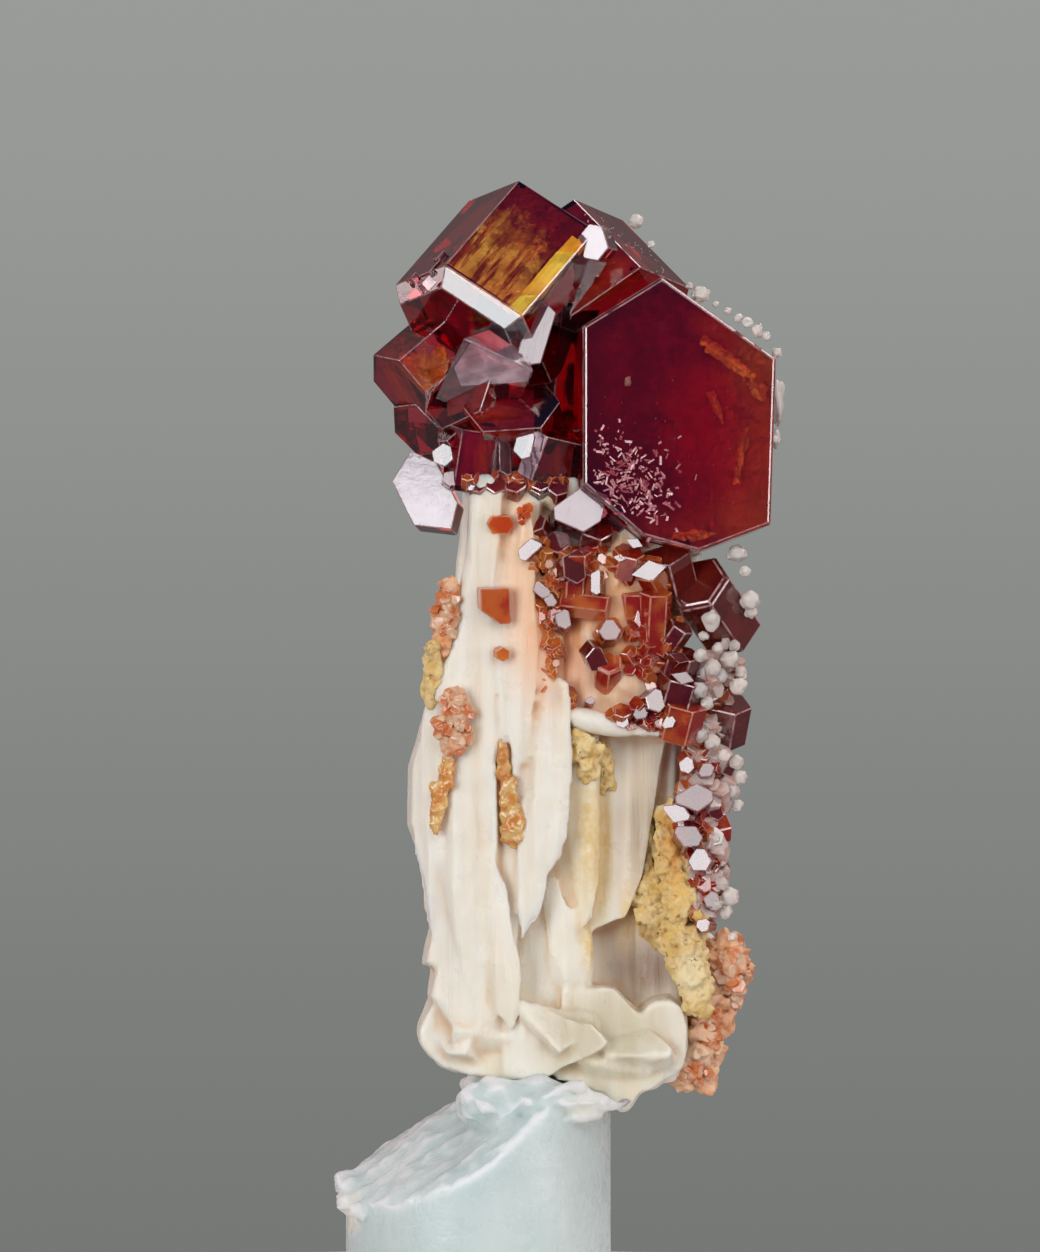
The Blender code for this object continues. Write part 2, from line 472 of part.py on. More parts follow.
def holder(material):
    """The glue stick: a cylinder cut across, with melted glue round the specimen's foot."""
    bm = bmesh.new()
    bmesh.ops.create_cone(bm, cap_ends=True, segments=STICK_SIDES, radius1=STICK_RADIUS, radius2=STICK_RADIUS,
                          depth=STICK_BLANK)
    bmesh.ops.translate(bm, vec=(0, 0, STICK_BLANK / 2), verts=bm.verts[:])
    for point, outward in STICK_CUTS:
        cut_away(bm, Vector(point), Vector(outward))
    body = to_object("holder_stick", bm)
    melted = helpers("holder_melted_glue")
    for index, shape in enumerate(shapes(COLLAR_LUMPS + LIP_LUMPS)):
        add_helper(f"holder_melt_{index}", shape, melted)
    seat = helpers("holder_seat")
    add_helper("holder_seat_peg", block_bmesh(PEG, SOCKET_GAP), seat)
    boolean(body, "UNION", melted)
    boolean(body, "DIFFERENCE", seat)
    body.data.materials.append(material)
    return body


def main():
    """Build every piece."""
    remove_scene_objects()
    red = principled("vanadinite", (0.35, 0.03, 0.02), 0.1, 0.8)
    orange = principled("orange_druse", (0.65, 0.25, 0.08), 0.4)
    ochre = principled("ochre_crust", (0.70, 0.50, 0.18), 0.9)
    white = principled("barite", (0.85, 0.78, 0.68), 0.4)
    glue = principled("glue", (0.75, 0.84, 0.85), 0.3, 0.4)
    clusters = {
        "crown_crystals": (CROWN, red),
        "slope_crystals": ((SLOPE_LEDGE, SLOPE_LEFT) + SLOPE, red),
        "flank_druse": ((FLANK_SLAB,) + FLANK, red),
        "foot_druse": ((FOOT_CRUST,) + FOOT_CRYSTALS, orange),
        "ochre_crust": ((OCHRE_CRUST,), ochre),
        "shoulder_druse": ((SHOULDER_CRUST,) + SHOULDER_CRYSTALS, orange),
        "rosette_patch": ((ROSETTE_CRUST,) + tuple(rosette()), orange),
        "groove_patch": ((GROOVE_CRUST,), orange),
        "amber_patch": ((AMBER_CRUST,), ochre),
    }
    clusters.update({name: ((crystal,), red) for name, crystal in SINGLES.items()})
    sockets = helpers("sockets")
    for name, (members, material) in clusters.items():
        cluster(name, members, material)
        grown = [member for member in members if not isinstance(member, Blade)]
        for index, shape in enumerate(shapes(grown, SOCKET_GAP)):
            add_helper(f"{name}_socket_{index}", shape, sockets)
    barite(sockets, white)
    holder(glue)


main()
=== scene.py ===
"""A vanadinite specimen in its looks: deep red crystals on tall white barite, standing on a cut glue stick.

Lengths are millimetres until a mesh is finished, +Z is up and -Y is the side that the camera sees.
"""

from __future__ import annotations

import json
import logging
import math
import random
from collections.abc import Callable, Iterable, Iterator, Sequence
from dataclasses import dataclass, field
from enum import Enum

import bmesh
import bpy
import numpy as np
from bmesh.types import BMesh, BMFace, BMLayerItem
from bpy.types import Collection, Material, Mesh, Node, NodeSocket, Object
from mathutils import Matrix, Vector, noise

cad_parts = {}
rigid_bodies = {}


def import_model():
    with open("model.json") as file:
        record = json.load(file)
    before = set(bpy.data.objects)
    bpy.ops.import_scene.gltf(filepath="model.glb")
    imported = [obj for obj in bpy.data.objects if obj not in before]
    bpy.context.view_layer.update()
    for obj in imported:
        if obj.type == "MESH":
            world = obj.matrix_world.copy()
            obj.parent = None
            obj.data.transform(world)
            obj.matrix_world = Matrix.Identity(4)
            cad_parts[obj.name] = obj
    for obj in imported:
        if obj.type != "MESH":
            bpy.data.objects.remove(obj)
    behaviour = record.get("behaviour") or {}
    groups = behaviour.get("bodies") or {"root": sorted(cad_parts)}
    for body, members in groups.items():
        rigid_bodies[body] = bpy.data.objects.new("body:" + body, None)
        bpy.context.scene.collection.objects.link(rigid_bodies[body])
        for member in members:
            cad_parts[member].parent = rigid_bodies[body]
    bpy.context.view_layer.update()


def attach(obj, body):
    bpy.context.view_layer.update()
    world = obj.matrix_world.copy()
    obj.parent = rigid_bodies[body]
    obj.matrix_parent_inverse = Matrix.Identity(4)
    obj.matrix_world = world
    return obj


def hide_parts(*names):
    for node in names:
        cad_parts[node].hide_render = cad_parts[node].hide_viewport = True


LOG = logging.getLogger("specimen")
MM = 0.001
SIXTHS = (0.0, 60.0, 120.0, 180.0, 240.0, 300.0)
QUARTERS = (0.0, 90.0, 180.0, 270.0)
SKEWED = (0.0, 68.0, 150.0, 205.0, 290.0)
Point = tuple[float, float, float]
Colour = tuple[float, float, float]

PHOTO_WIDTH = 1040
PHOTO_HEIGHT = 1252
PIXELS_PER_MM = 24.0
AXIS_COLUMN = 478.0         # photograph column of the stick's axis
FLOOR_ROW = 1300.0          # photograph row of the floor, below the picture
CRYSTAL_BLOCK = 40.0        # the block that a crystal is cut from
BEVEL_LEAN = 0.9            # how far a sloping facet leans towards its crystal's end
FLAT_ENOUGH = 0.995         # cosine between a face and the facet that it belongs to
GOLDEN_TURN = math.radians(137.5)


class Body(Enum):
    """The rigid bodies of the specimen."""

    ROOT = "root"


class Slot(Enum):
    """The finishes that the record names."""

    VANADINITE = "vanadinite"
    ORANGE = "orange_druse"
    OCHRE = "ochre_crust"
    BARITE = "barite"
    GLUE = "glue"


def in_photo(column: float, row: float) -> tuple[float, float]:
    """Give the X and Z, in millimetres, of a place in the photograph.

    Args:
        column: pixels from the left edge.
        row: pixels from the top edge.

    Returns:
        X and Z in the plane of the stick's axis.
    """
    return (column - AXIS_COLUMN) / PIXELS_PER_MM, (FLOOR_ROW - row) / PIXELS_PER_MM


class Graph:
    """A material's node tree round one Principled shader, on Object coordinates."""

    def __init__(self, name: str) -> None:
        """Start a material.

        Args:
            name: the material's name.
        """
        self.material: Material = bpy.data.materials.new(name)
        self.material.use_nodes = True
        self.tree = self.material.node_tree
        self.tree.nodes.clear()
        self.output = self.tree.nodes.new("ShaderNodeOutputMaterial")
        self.shader = self.tree.nodes.new("ShaderNodeBsdfPrincipled")
        self.tree.links.new(self.shader.outputs["BSDF"], self.output.inputs["Surface"])
        self.place = self.tree.nodes.new("ShaderNodeTexCoord").outputs["Object"]

    def put(self, node: Node, name: str | int, value: object) -> None:
        """Link or set one input.

        Args:
            node: the node whose input it is.
            name: the input's name or number.
            value: a socket to link, or a plain value.
        """
        if isinstance(value, NodeSocket):
            self.tree.links.new(value, node.inputs[name])
        elif isinstance(value, tuple) and len(value) == 3 and node.inputs[name].type == "RGBA":
            node.inputs[name].default_value = (*value, 1.0)
        else:
            node.inputs[name].default_value = value

    def set(self, **values: object) -> None:
        """Set or link the shader's inputs, an underscore standing for each space."""
        for name, value in values.items():
            self.put(self.shader, name.replace("_", " "), value)

    def at(self, stretch: Point = (1.0, 1.0, 1.0), shift: Point = (0.0, 0.0, 0.0)) -> NodeSocket:
        """Stretch and shift the object's coordinates.

        Args:
            stretch: factors along X, Y and Z.
            shift: what is added, in metres.

        Returns:
            The coordinates' socket.
        """
        node = self.tree.nodes.new("ShaderNodeMapping")
        self.put(node, "Vector", self.place)
        self.put(node, "Scale", stretch)
        self.put(node, "Location", shift)
        return node.outputs["Vector"]

    def noise(self, size: float, detail: float = 3.0, stretch: Point = (1.0, 1.0, 1.0),
              rough: float = 0.5, warp: float = 0.0) -> NodeSocket:
        """A cloudy pattern.

        Args:
            size: the size of its largest patches, in millimetres.
            detail: how many finer layers it has.
            stretch: factors along X, Y and Z.
            rough: the strength of the finer layers.
            warp: how far it is distorted.

        Returns:
            Its value, from 0 to 1.
        """
        node = self.tree.nodes.new("ShaderNodeTexNoise")
        self.put(node, "Vector", self.at(stretch))
        self.put(node, "Scale", 1.0 / (size * MM))
        self.put(node, "Detail", detail)
        self.put(node, "Roughness", rough)
        self.put(node, "Distortion", warp)
        return node.outputs["Fac"]

    def cells(self, size: float, feature: str = "F1", stretch: Point = (1.0, 1.0, 1.0)) -> NodeSocket:
        """A pattern of cells.

        Args:
            size: the size of a cell, in millimetres.
            feature: Blender's name for what is measured.
            stretch: factors along X, Y and Z.

        Returns:
            The distance that it measures.
        """
        node = self.tree.nodes.new("ShaderNodeTexVoronoi")
        node.feature = feature
        self.put(node, "Vector", self.at(stretch))
        self.put(node, "Scale", 1.0 / (size * MM))
        return node.outputs["Distance"]

    def attribute(self, name: str) -> NodeSocket:
        """Read a number stored at the mesh's points.

        Args:
            name: what it is stored as.

        Returns:
            The number.
        """
        node = self.tree.nodes.new("ShaderNodeAttribute")
        node.attribute_type = "GEOMETRY"
        node.attribute_name = name
        return node.outputs["Fac"]

    def sheet(self, stretch: Point) -> NodeSocket:
        """Give a place on a veil, from its own two directions.

        Args:
            stretch: factors across it and along it, and one that is left over.

        Returns:
            The coordinates' socket.
        """
        join = self.tree.nodes.new("ShaderNodeCombineXYZ")
        self.put(join, 0, self.attribute("across"))
        self.put(join, 1, self.attribute("along"))
        node = self.tree.nodes.new("ShaderNodeMapping")
        self.put(node, "Vector", join.outputs[0])
        self.put(node, "Scale", stretch)
        return node.outputs["Vector"]

    def noise_on(self, place: NodeSocket, scale: float, detail: float, rough: float) -> NodeSocket:
        """A cloudy pattern on coordinates of its own.

        Args:
            place: the coordinates.
            scale: how many patches there are to a unit.
            detail: how many finer layers it has.
            rough: the strength of the finer layers.

        Returns:
            Its value, from 0 to 1.
        """
        node = self.tree.nodes.new("ShaderNodeTexNoise")
        self.put(node, "Vector", place)
        self.put(node, "Scale", scale)
        self.put(node, "Detail", detail)
        self.put(node, "Roughness", rough)
        return node.outputs["Fac"]

    def calc(self, operation: str, first: object, second: object = 0.0, clamp: bool = False) -> NodeSocket:
        """One step of arithmetic.

        Args:
            operation: Blender's name for it.
            first: a socket or number.
            second: a socket or number.
            clamp: whether the result stays between 0 and 1.

        Returns:
            The result.
        """
        node = self.tree.nodes.new("ShaderNodeMath")
        node.operation = operation
        node.use_clamp = clamp
        self.put(node, 0, first)
        self.put(node, 1, second)
        return node.outputs["Value"]

    def span(self, value: NodeSocket, low: float, high: float, to_low: float = 0.0,
             to_high: float = 1.0) -> NodeSocket:
        """Carry a value from one range to another, smoothly and clamped.

        Args:
            value: the value.
            low: where the range starts.
            high: where it ends.
            to_low: the result at its start.
            to_high: the result at its end.

        Returns:
            The result.
        """
        node = self.tree.nodes.new("ShaderNodeMapRange")
        node.interpolation_type = "SMOOTHSTEP"
        self.put(node, "Value", value)
        self.put(node, "From Min", low)
        self.put(node, "From Max", high)
        self.put(node, "To Min", to_low)
        self.put(node, "To Max", to_high)
        return node.outputs["Result"]

    def ramp(self, value: NodeSocket, *stops: tuple[float, Colour]) -> NodeSocket:
        """Colours along a value.

        Args:
            value: the value, from 0 to 1.
            stops: where each colour is and the colour.

        Returns:
            The colour.
        """
        node = self.tree.nodes.new("ShaderNodeValToRGB")
        elements = node.color_ramp.elements
        while len(elements) < len(stops):
            elements.new(0.5)
        for element, (place, colour) in zip(elements, stops):
            element.position = place
            element.color = (*colour, 1.0)
        self.put(node, "Fac", value)
        return node.outputs["Color"]

    def mix(self, share: object, first: object, second: object) -> NodeSocket:
        """Mix two colours.

        Args:
            share: how much of the second, from 0 to 1.
            first: a colour or its socket.
            second: a colour or its socket.

        Returns:
            The mixed colour.
        """
        node = self.tree.nodes.new("ShaderNodeMix")
        node.data_type = "RGBA"
        self.put(node, 0, share)
        self.put(node, 6, first)
        self.put(node, 7, second)
        return node.outputs[2]

    def near(self, centre: Point, reach: Point) -> NodeSocket:
        """A soft spot.

        Args:
            centre: its middle, in millimetres.
            reach: its half sizes along X, Y and Z, in millimetres.

        Returns:
            1 at the middle, falling to 0 at its edge.
        """
        stretch = tuple(1.0 / (MM * size) for size in reach)
        shift = tuple(-place / size for place, size in zip(centre, reach))
        node = self.tree.nodes.new("ShaderNodeVectorMath")
        node.operation = "LENGTH"
        self.put(node, 0, self.at(stretch, shift))
        return self.span(node.outputs["Value"], 1.0, 0.15)

    def bump(self, height: NodeSocket, depth: float, under: NodeSocket | None = None) -> NodeSocket:
        """Relief too fine for the mesh.

        Args:
            height: its height, from 0 to 1.
            depth: its depth, in millimetres.
            under: another relief to lay it on.

        Returns:
            The normal.
        """
        node = self.tree.nodes.new("ShaderNodeBump")
        node.inputs["Distance"].default_value = depth * MM
        self.put(node, "Height", height)
        if under is not None:
            self.put(node, "Normal", under)
        return node.outputs["Normal"]


@dataclass(frozen=True)
class CrystalFinish:
    """Clear coloured crystal: what it takes from the light, the fine marks on its faces, and a painted highlight along
    its bevelled edges.
    """

    name: str
    clear: Colour = (0.92, 0.30, 0.42)
    density: float = 1250.0
    ior: float = 2.1
    rough: float = 0.02
    tint: Colour = (1.0, 0.93, 0.90)
    other: Colour = (1.0, 1.0, 1.0)
    pits: float = 0.003
    body: float = 0.0
    dusty: float = 0.0
    shine: float = 0.4
    # edge is the colour of the painted highlight along the bevelled edges, and the field after it how much light those
    # edges still let through
    edge: Colour = (0.92, 0.55, 0.52)
    edge_highlight_clear: float = 0.62

    def material(self) -> Material:
        """Make the material."""
        graph = Graph(self.name)
        cloud = graph.noise(1.6, 4.0)
        marks = graph.noise(0.5, 6.0, rough=0.7)
        # worn picks out the bevel faces, broken up by noise: there the colour turns to the painted edge highlight and
        # less light passes
        worn = graph.calc("MULTIPLY", graph.attribute("rim"), graph.span(graph.noise(0.4, 4.0), 0.3, 0.6, 0.2, 1.0))
        colour = graph.mix(graph.span(cloud, 0.40, 0.60), self.tint, self.other)
        clear = graph.span(marks, 0.62, 0.75, 1.0 - self.body, 1.0 - self.body - self.dusty)
        graph.set(
            Base_Color=graph.mix(worn, colour, self.edge),
            Roughness=graph.span(graph.noise(0.8, 5.0), 0.45, 0.8, self.rough, self.rough + 0.08),
            Transmission_Weight=graph.calc("MULTIPLY", clear, graph.span(worn, 0.0, 1.0, 1.0, self.edge_highlight_clear)),
            IOR=self.ior,
            Specular_IOR_Level=self.shine,
            Normal=graph.bump(marks, self.pits),
        )
        absorption = graph.tree.nodes.new("ShaderNodeVolumeAbsorption")
        absorption.inputs["Color"].default_value = (*self.clear, 1.0)
        absorption.inputs["Density"].default_value = self.density
        graph.tree.links.new(absorption.outputs["Volume"], graph.output.inputs["Volume"])
        return graph.material


@dataclass(frozen=True)
class VeilFinish:
    """The satin skin of a healed crack, streaked along the crystal, of one colour from rim to rim; some of these
    sheets carry painted shade, painted reflections or a painted highlight instead.
    """

    name: str
    stops: tuple[tuple[float, Colour], ...]
    far: Colour
    rough: float = 0.35
    metal: float = 0.0
    streak: float = 6.0
    relief: float = 1.0
    fade: tuple[float, float] = (0.62, 0.92)
    near: Colour | None = None
    spots: tuple[tuple[Point, Point, Colour], ...] = ()

    def material(self) -> Material:
        """Make the material."""
        graph = Graph(self.name)
        sheet = graph.sheet((1.0, 0.16, 1.0))
        streaks = graph.noise_on(sheet, self.streak, 5.0, 0.65)
        cloud = graph.noise(0.9, 5.0, rough=0.7)
        drift = graph.span(cloud, 0.3, 0.7, -0.10, 0.10)
        colour = graph.ramp(graph.calc("ADD", graph.attribute("across"), drift), *self.stops)
        along = graph.calc("ADD", graph.attribute("along"), drift)
        colour = graph.mix(graph.span(along, *self.fade), colour, self.far)
        colour = graph.mix(graph.span(streaks, 0.40, 0.62, 0.75, 0.0), colour, self.far)
        if self.near:
            low = graph.calc("MULTIPLY", graph.span(along, 0.55, 0.22), graph.span(streaks, 0.44, 0.52))
            colour = graph.mix(low, colour, self.near)
        for centre, reach, tone in self.spots:
            share = graph.calc("MULTIPLY", graph.near(centre, reach), graph.span(cloud, 0.30, 0.60, 0.35, 1.0))
            colour = graph.mix(share, colour, tone)
        graph.set(
            Base_Color=colour,
            Roughness=graph.span(cloud, 0.3, 0.7, self.rough, self.rough + 0.2),
            Metallic=self.metal,
            Normal=graph.bump(streaks, 0.05 * self.relief, graph.bump(cloud, 0.06 * self.relief)),
        )
        return graph.material


@dataclass(frozen=True)
class BariteFinish:
    """Milky, waxy barite: cream faces and stains of ochre, with a painted white highlight on the rims and painted tan
    shade in the grooves, the recess on the right and the hollow above the foot.
    """

    name: str = "waxy_barite"
    white: Colour = (0.86, 0.82, 0.70)
    cream: Colour = (0.83, 0.74, 0.56)
    groove_shade: Colour = (0.78, 0.57, 0.36)
    peach: Colour = (0.95, 0.60, 0.34)
    amber: Colour = (0.86, 0.44, 0.19)
    ivory: Colour = (0.62, 0.56, 0.38)
    ochre: Colour = (0.74, 0.53, 0.20)
    lemon: Colour = (0.84, 0.71, 0.38)
    russet: Colour = (0.58, 0.19, 0.08)
    tan_recess_shade: Colour = (0.64, 0.53, 0.37)
    glow: Colour = (0.91, 0.42, 0.19)
    brown: Colour = (0.30, 0.17, 0.09)

    def material(self) -> Material:
        """Make the material."""
        graph = Graph(self.name)
        sunk = graph.attribute("sunk")
        streaks = graph.noise(1.1, 4.0, stretch=(1.0, 1.0, 0.10))
        colour = graph.mix(graph.span(streaks, 0.40, 0.75), self.white, self.cream)
        # Painted shade: sunk places, the grooves beside the plates' edges, turn tan.
        colour = graph.mix(graph.span(sunk, 0.0, 0.13, 0.0, 0.9), colour, self.groove_shade)
        heart = graph.near((5.2, -3.0, 29.2), (4.6, 5.0, 7.0))
        warm = graph.near((1.9, -3.4, 29.5), (1.3, 3.0, 6.0))
        # The recess spot is painted shade: the plates set back on the right turn a warm tan.
        recess_shade_spot = graph.near((6.8, -0.5, 18.5), (2.6, 2.6, 8.0))
        for spot, share in ((heart, 1.0), (warm, 0.6), (recess_shade_spot, 0.5)):
            colour = graph.mix(graph.calc("MULTIPLY", spot, share), colour, self.peach)
        for centre, reach, tone in (((6.0, -3.4, 28.4), (3.4, 3.0, 6.0), self.amber),
                                    ((7.4, -3.4, 28.2), (1.9, 2.0, 4.4), self.russet),
                                    ((3.4, -3.7, 28.8), (2.5, 2.6, 6.8), self.glow),
                                    ((2.4, -3.6, 31.6), (2.2, 3.0, 4.2), self.peach),
                                    # The next spot is painted shade in the recess on the right.
                                    ((6.8, -2.2, 19.5), (2.2, 2.4, 6.0), self.tan_recess_shade),
                                    ((4.7, -2.6, 18.6), (1.3, 2.0, 5.4), self.lemon),
                                    ((5.2, -3.9, 24.1), (3.6, 0.9, 1.0), self.white),
                                    ((5.4, -3.4, 11.0), (4.7, 2.6, 3.7), self.ivory)):
            share = graph.calc("MULTIPLY", graph.near(centre, reach), graph.span(streaks, 0.3, 0.7, 0.5, 0.95))
            colour = graph.mix(share, colour, tone)
        # Painted highlight: places that stand proud, the plates' rims, turn white.
        colour = graph.mix(graph.span(sunk, -0.04, -0.13, 0.0, 0.7), colour, self.white)
        grain = graph.noise(0.35, 5.0, rough=0.75)
        stains = (((4.6, -2.9, 19.5), (0.7, 1.5, 3.8)), ((5.2, -2.4, 19.0), (0.60, 1.6, 4.6)),
                  ((4.8, -2.4, 22.4), (1.4, 1.6, 1.3)), ((-1.6, -4.0, 20.6), (0.6, 0.8, 1.8)),
                  ((4.6, -2.6, 14.6), (0.6, 1.0, 1.6)), ((6.2, -1.4, 15.8), (0.6, 2.0, 2.6)),
                  ((3.7, -3.4, 17.8), (0.8, 1.2, 1.0)))
        for centre, reach in stains:
            share = graph.calc("MULTIPLY", graph.near(centre, reach), graph.span(grain, 0.35, 0.6, 0.3, 1.0))
            colour = graph.mix(share, colour, self.ochre)
        # Painted shade: the hollow above the foot turns dark brown.
        cave_shade = graph.calc("MULTIPLY", graph.near((7.0, -1.1, 13.7), (2.1, 1.8, 1.9)), 0.9)
        colour = graph.mix(cave_shade, colour, self.brown)
        fibres = graph.noise(0.30, 6.0, stretch=(1.0, 1.0, 0.05), rough=0.7)
        graph.set(
            Base_Color=colour,
            Roughness=graph.span(graph.noise(0.9, 4.0), 0.3, 0.7, 0.26, 0.46),
            Subsurface_Weight=0.7,
            Subsurface_Radius=(1.0, 0.72, 0.5),
            Subsurface_Scale=0.6 * MM,
            IOR=1.6,
            Normal=graph.bump(grain, 0.012, graph.bump(fibres, 0.06)),
        )
        return graph.material


@dataclass(frozen=True)
class CrustFinish:
    """Earthy or sugary crust of two colours, with painted shade in its pits, and dark grains."""

    name: str
    pale: Colour
    deep: Colour
    pit: Colour
    dark: Colour = (0.10, 0.06, 0.03)
    specks: float = 0.0
    rough: float = 0.8
    glow: float = 0.3
    spots: tuple[tuple[Point, Point, Colour], ...] = ()

    def material(self) -> Material:
        """Make the material."""
        graph = Graph(self.name)
        cloud = graph.noise(0.7, 5.0, rough=0.65)
        colour = graph.mix(graph.span(cloud, 0.35, 0.65), self.pale, self.deep)
        # Painted shade in the pits.
        colour = graph.mix(graph.span(graph.attribute("sunk"), 0.0, 0.06, 0.0, 0.9), colour, self.pit)
        for centre, reach, tone in self.spots:
            share = graph.calc("MULTIPLY", graph.near(centre, reach), graph.span(cloud, 0.35, 0.6, 0.4, 1.0))
            colour = graph.mix(share, colour, tone)
        # More painted shade, deepest in the pits.
        colour = graph.mix(graph.span(graph.attribute("sunk"), 0.03, 0.10, 0.0, 0.8), colour, self.pit)
        speck = graph.span(graph.noise(0.45, 3.0, rough=0.8), 0.60, 0.66)
        speck = graph.calc("MULTIPLY", speck, graph.span(graph.noise(1.6, 2.0), 0.46, 0.58))
        colour = graph.mix(graph.calc("MULTIPLY", speck, self.specks), colour, self.dark)
        graph.set(
            Base_Color=colour,
            Roughness=graph.span(cloud, 0.3, 0.7, self.rough, self.rough * 0.7),
            Subsurface_Weight=self.glow,
            Subsurface_Radius=(1.0, 0.5, 0.2),
            Subsurface_Scale=0.35 * MM,
            Normal=graph.bump(graph.noise(0.12, 5.0, rough=0.8), 0.03),
        )
        return graph.material


@dataclass(frozen=True)
class DruseFinish:
    """Tiny translucent crystals, orange with paler and redder ones among them."""

    name: str
    pale: Colour
    deep: Colour
    clear: float = 0.55
    rough: float = 0.12
    ior: float = 2.0

    def material(self) -> Material:
        """Make the material."""
        graph = Graph(self.name)
        each = graph.noise(0.55, 1.0)
        veil = graph.noise(0.2, 5.0, rough=0.7)
        colour = graph.mix(graph.span(each, 0.38, 0.62), self.pale, self.deep)
        graph.set(
            Base_Color=graph.mix(graph.span(veil, 0.55, 0.8, 0.0, 0.4), colour, self.pale),
            Roughness=graph.span(veil, 0.3, 0.8, self.rough, self.rough + 0.2),
            Transmission_Weight=self.clear,
            IOR=self.ior,
            Normal=graph.bump(veil, 0.008),
        )
        return graph.material


@dataclass(frozen=True)
class GlueFinish:
    """Milky hot glue, bluish where it is deep and white where it is torn."""

    name: str = "milky_glue"
    deep: Colour = (0.57, 0.66, 0.63)
    torn: Colour = (0.77, 0.80, 0.77)
    warm: Colour = (0.86, 0.84, 0.72)

    def material(self) -> Material:
        """Make the material."""
        graph = Graph(self.name)
        cloud = graph.noise(3.0, 3.0, stretch=(1.0, 1.0, 0.4))
        colour = graph.mix(graph.span(cloud, 0.4, 0.7, 0.0, 0.35), self.deep, self.torn)
        torn = graph.near((-4.0, -1.0, 5.9), (3.8, 9.0, 3.2))
        scuff = graph.span(graph.noise(0.6, 5.0, stretch=(0.35, 1.0, 0.5), rough=0.7), 0.35, 0.65)
        colour = graph.mix(graph.calc("MULTIPLY", torn, scuff), colour, self.torn)
        colour = graph.mix(graph.span(graph.attribute("sunk"), -0.01, -0.07, 0.0, 0.9), colour, self.torn)
        colour = graph.mix(graph.near((4.4, -3.2, 8.2), (1.6, 3.0, 1.2)), colour, self.warm)
        colour = graph.mix(graph.near((-5.3, -1.4, 3.6), (0.9, 3.0, 1.4)), colour, self.warm)
        graph.set(
            Base_Color=colour,
            Roughness=graph.span(scuff, 0.0, 1.0, 0.22, 0.42),
            Subsurface_Weight=0.9,
            Subsurface_Radius=(0.85, 1.0, 1.0),
            Subsurface_Scale=2.2 * MM,
            IOR=1.48,
            Normal=graph.bump(scuff, 0.02),
        )
        return graph.material


@dataclass(frozen=True)
class PaintFinish:
    """A plain matte surface."""

    name: str
    colour: Colour

    def material(self) -> Material:
        """Make the material."""
        graph = Graph(self.name)
        faint = graph.noise(40.0, 2.0)
        shade = tuple(0.97 * part for part in self.colour)
        graph.set(Base_Color=graph.mix(faint, self.colour, shade), Roughness=0.9)
        return graph.material


@dataclass(frozen=True)
class Crystal:
    """A six-sided prism with flat ends.

    base is the middle of its near end, aim the way that end faces, and facing the rough direction of its
    first side face. flats is the distance from the axis to the side faces, one for all or one each, at
    the given angles round the axis, and bevel the width of the sloping facets round the near end.
    """

    base: Point
    aim: Point
    facing: Point
    flats: float | tuple[float, ...]
    length: float
    bevel: float = 0.0
    angles: tuple[float, ...] = SIXTHS

    def least(self) -> float:
        """Give the distance from the axis to the nearest side face."""
        return min(self.flats) if isinstance(self.flats, tuple) else self.flats

    def planes(self, grow: float = 0.0) -> Iterator[tuple[Vector, Vector]]:
        """Give a point on each face and the way that the face looks.

        Args:
            grow: how far each face is moved outwards.

        Yields:
            The point and the direction.
        """
        aim = Vector(self.aim).normalized()
        first = Vector(self.facing)
        first = (first - first.dot(aim) * aim).normalized()
        second = aim.cross(first)
        base = Vector(self.base)
        flats = self.flats if isinstance(self.flats, tuple) else (self.flats,) * len(self.angles)
        yield base + aim * grow, aim
        yield base - aim * (self.length + grow), -aim
        for angle, flat in zip(self.angles, flats):
            side = math.cos(math.radians(angle)) * first + math.sin(math.radians(angle)) * second
            yield base + side * (flat + grow), side
            if self.bevel:
                slope = (side + aim * BEVEL_LEAN).normalized()
                yield base + side * (flat - self.bevel) + slope * grow, slope

    def shape(self, edge: float = 0.03, grow: float = 0.0) -> BMesh:
        """Cut the crystal out of a block and soften its edges.

        Args:
            edge: the width of the softened edges.
            grow: how far each face is moved outwards.

        Returns:
            The crystal, in millimetres.
        """
        bm = bmesh.new()
        bmesh.ops.create_cube(bm, size=CRYSTAL_BLOCK)
        bmesh.ops.translate(bm, vec=Vector(self.base), verts=bm.verts[:])
        for point, outward in self.planes(grow):
            cut_away(bm, point, outward)
        if edge:
            bmesh.ops.bevel(bm, geom=bm.edges[:], offset=edge, offset_type="OFFSET", segments=1, profile=0.5,
                            affect="EDGES", material=-1, clamp_overlap=True)
        bm.normal_update()
        # rim marks the bevel faces, which the finish paints with a highlight
        rim = bm.faces.layers.float.new("rim")
        facets = [outward for _, outward in self.planes()]
        for face in bm.faces:
            face[rim] = float(max(face.normal.dot(outward) for outward in facets) < FLAT_ENOUGH)
        return bm


def cut_away(bm: BMesh, point: Vector, outward: Vector) -> None:
    """Cut a closed shape with a plane, drop what lies outside it and close the cut.

    Args:
        bm: the shape.
        point: a point on the plane.
        outward: the side that is dropped.
    """
    cut = bmesh.ops.bisect_plane(bm, geom=bm.verts[:] + bm.edges[:] + bm.faces[:], dist=1e-5,
                                 plane_co=point, plane_no=outward, clear_outer=True)
    rim = [part for part in cut["geom_cut"] if isinstance(part, bmesh.types.BMEdge)]
    if rim:
        bmesh.ops.edgeloop_fill(bm, edges=rim)


def link(name: str, mesh: Mesh, collection: Collection | None = None) -> Object:
    """Put a mesh into the scene as an object at the origin.

    Args:
        name: the object's name.
        mesh: its mesh.
        collection: where it goes, if not the scene's own collection.

    Returns:
        The object.
    """
    item = bpy.data.objects.new(name, mesh)
    (collection or bpy.context.scene.collection).objects.link(item)
    return item


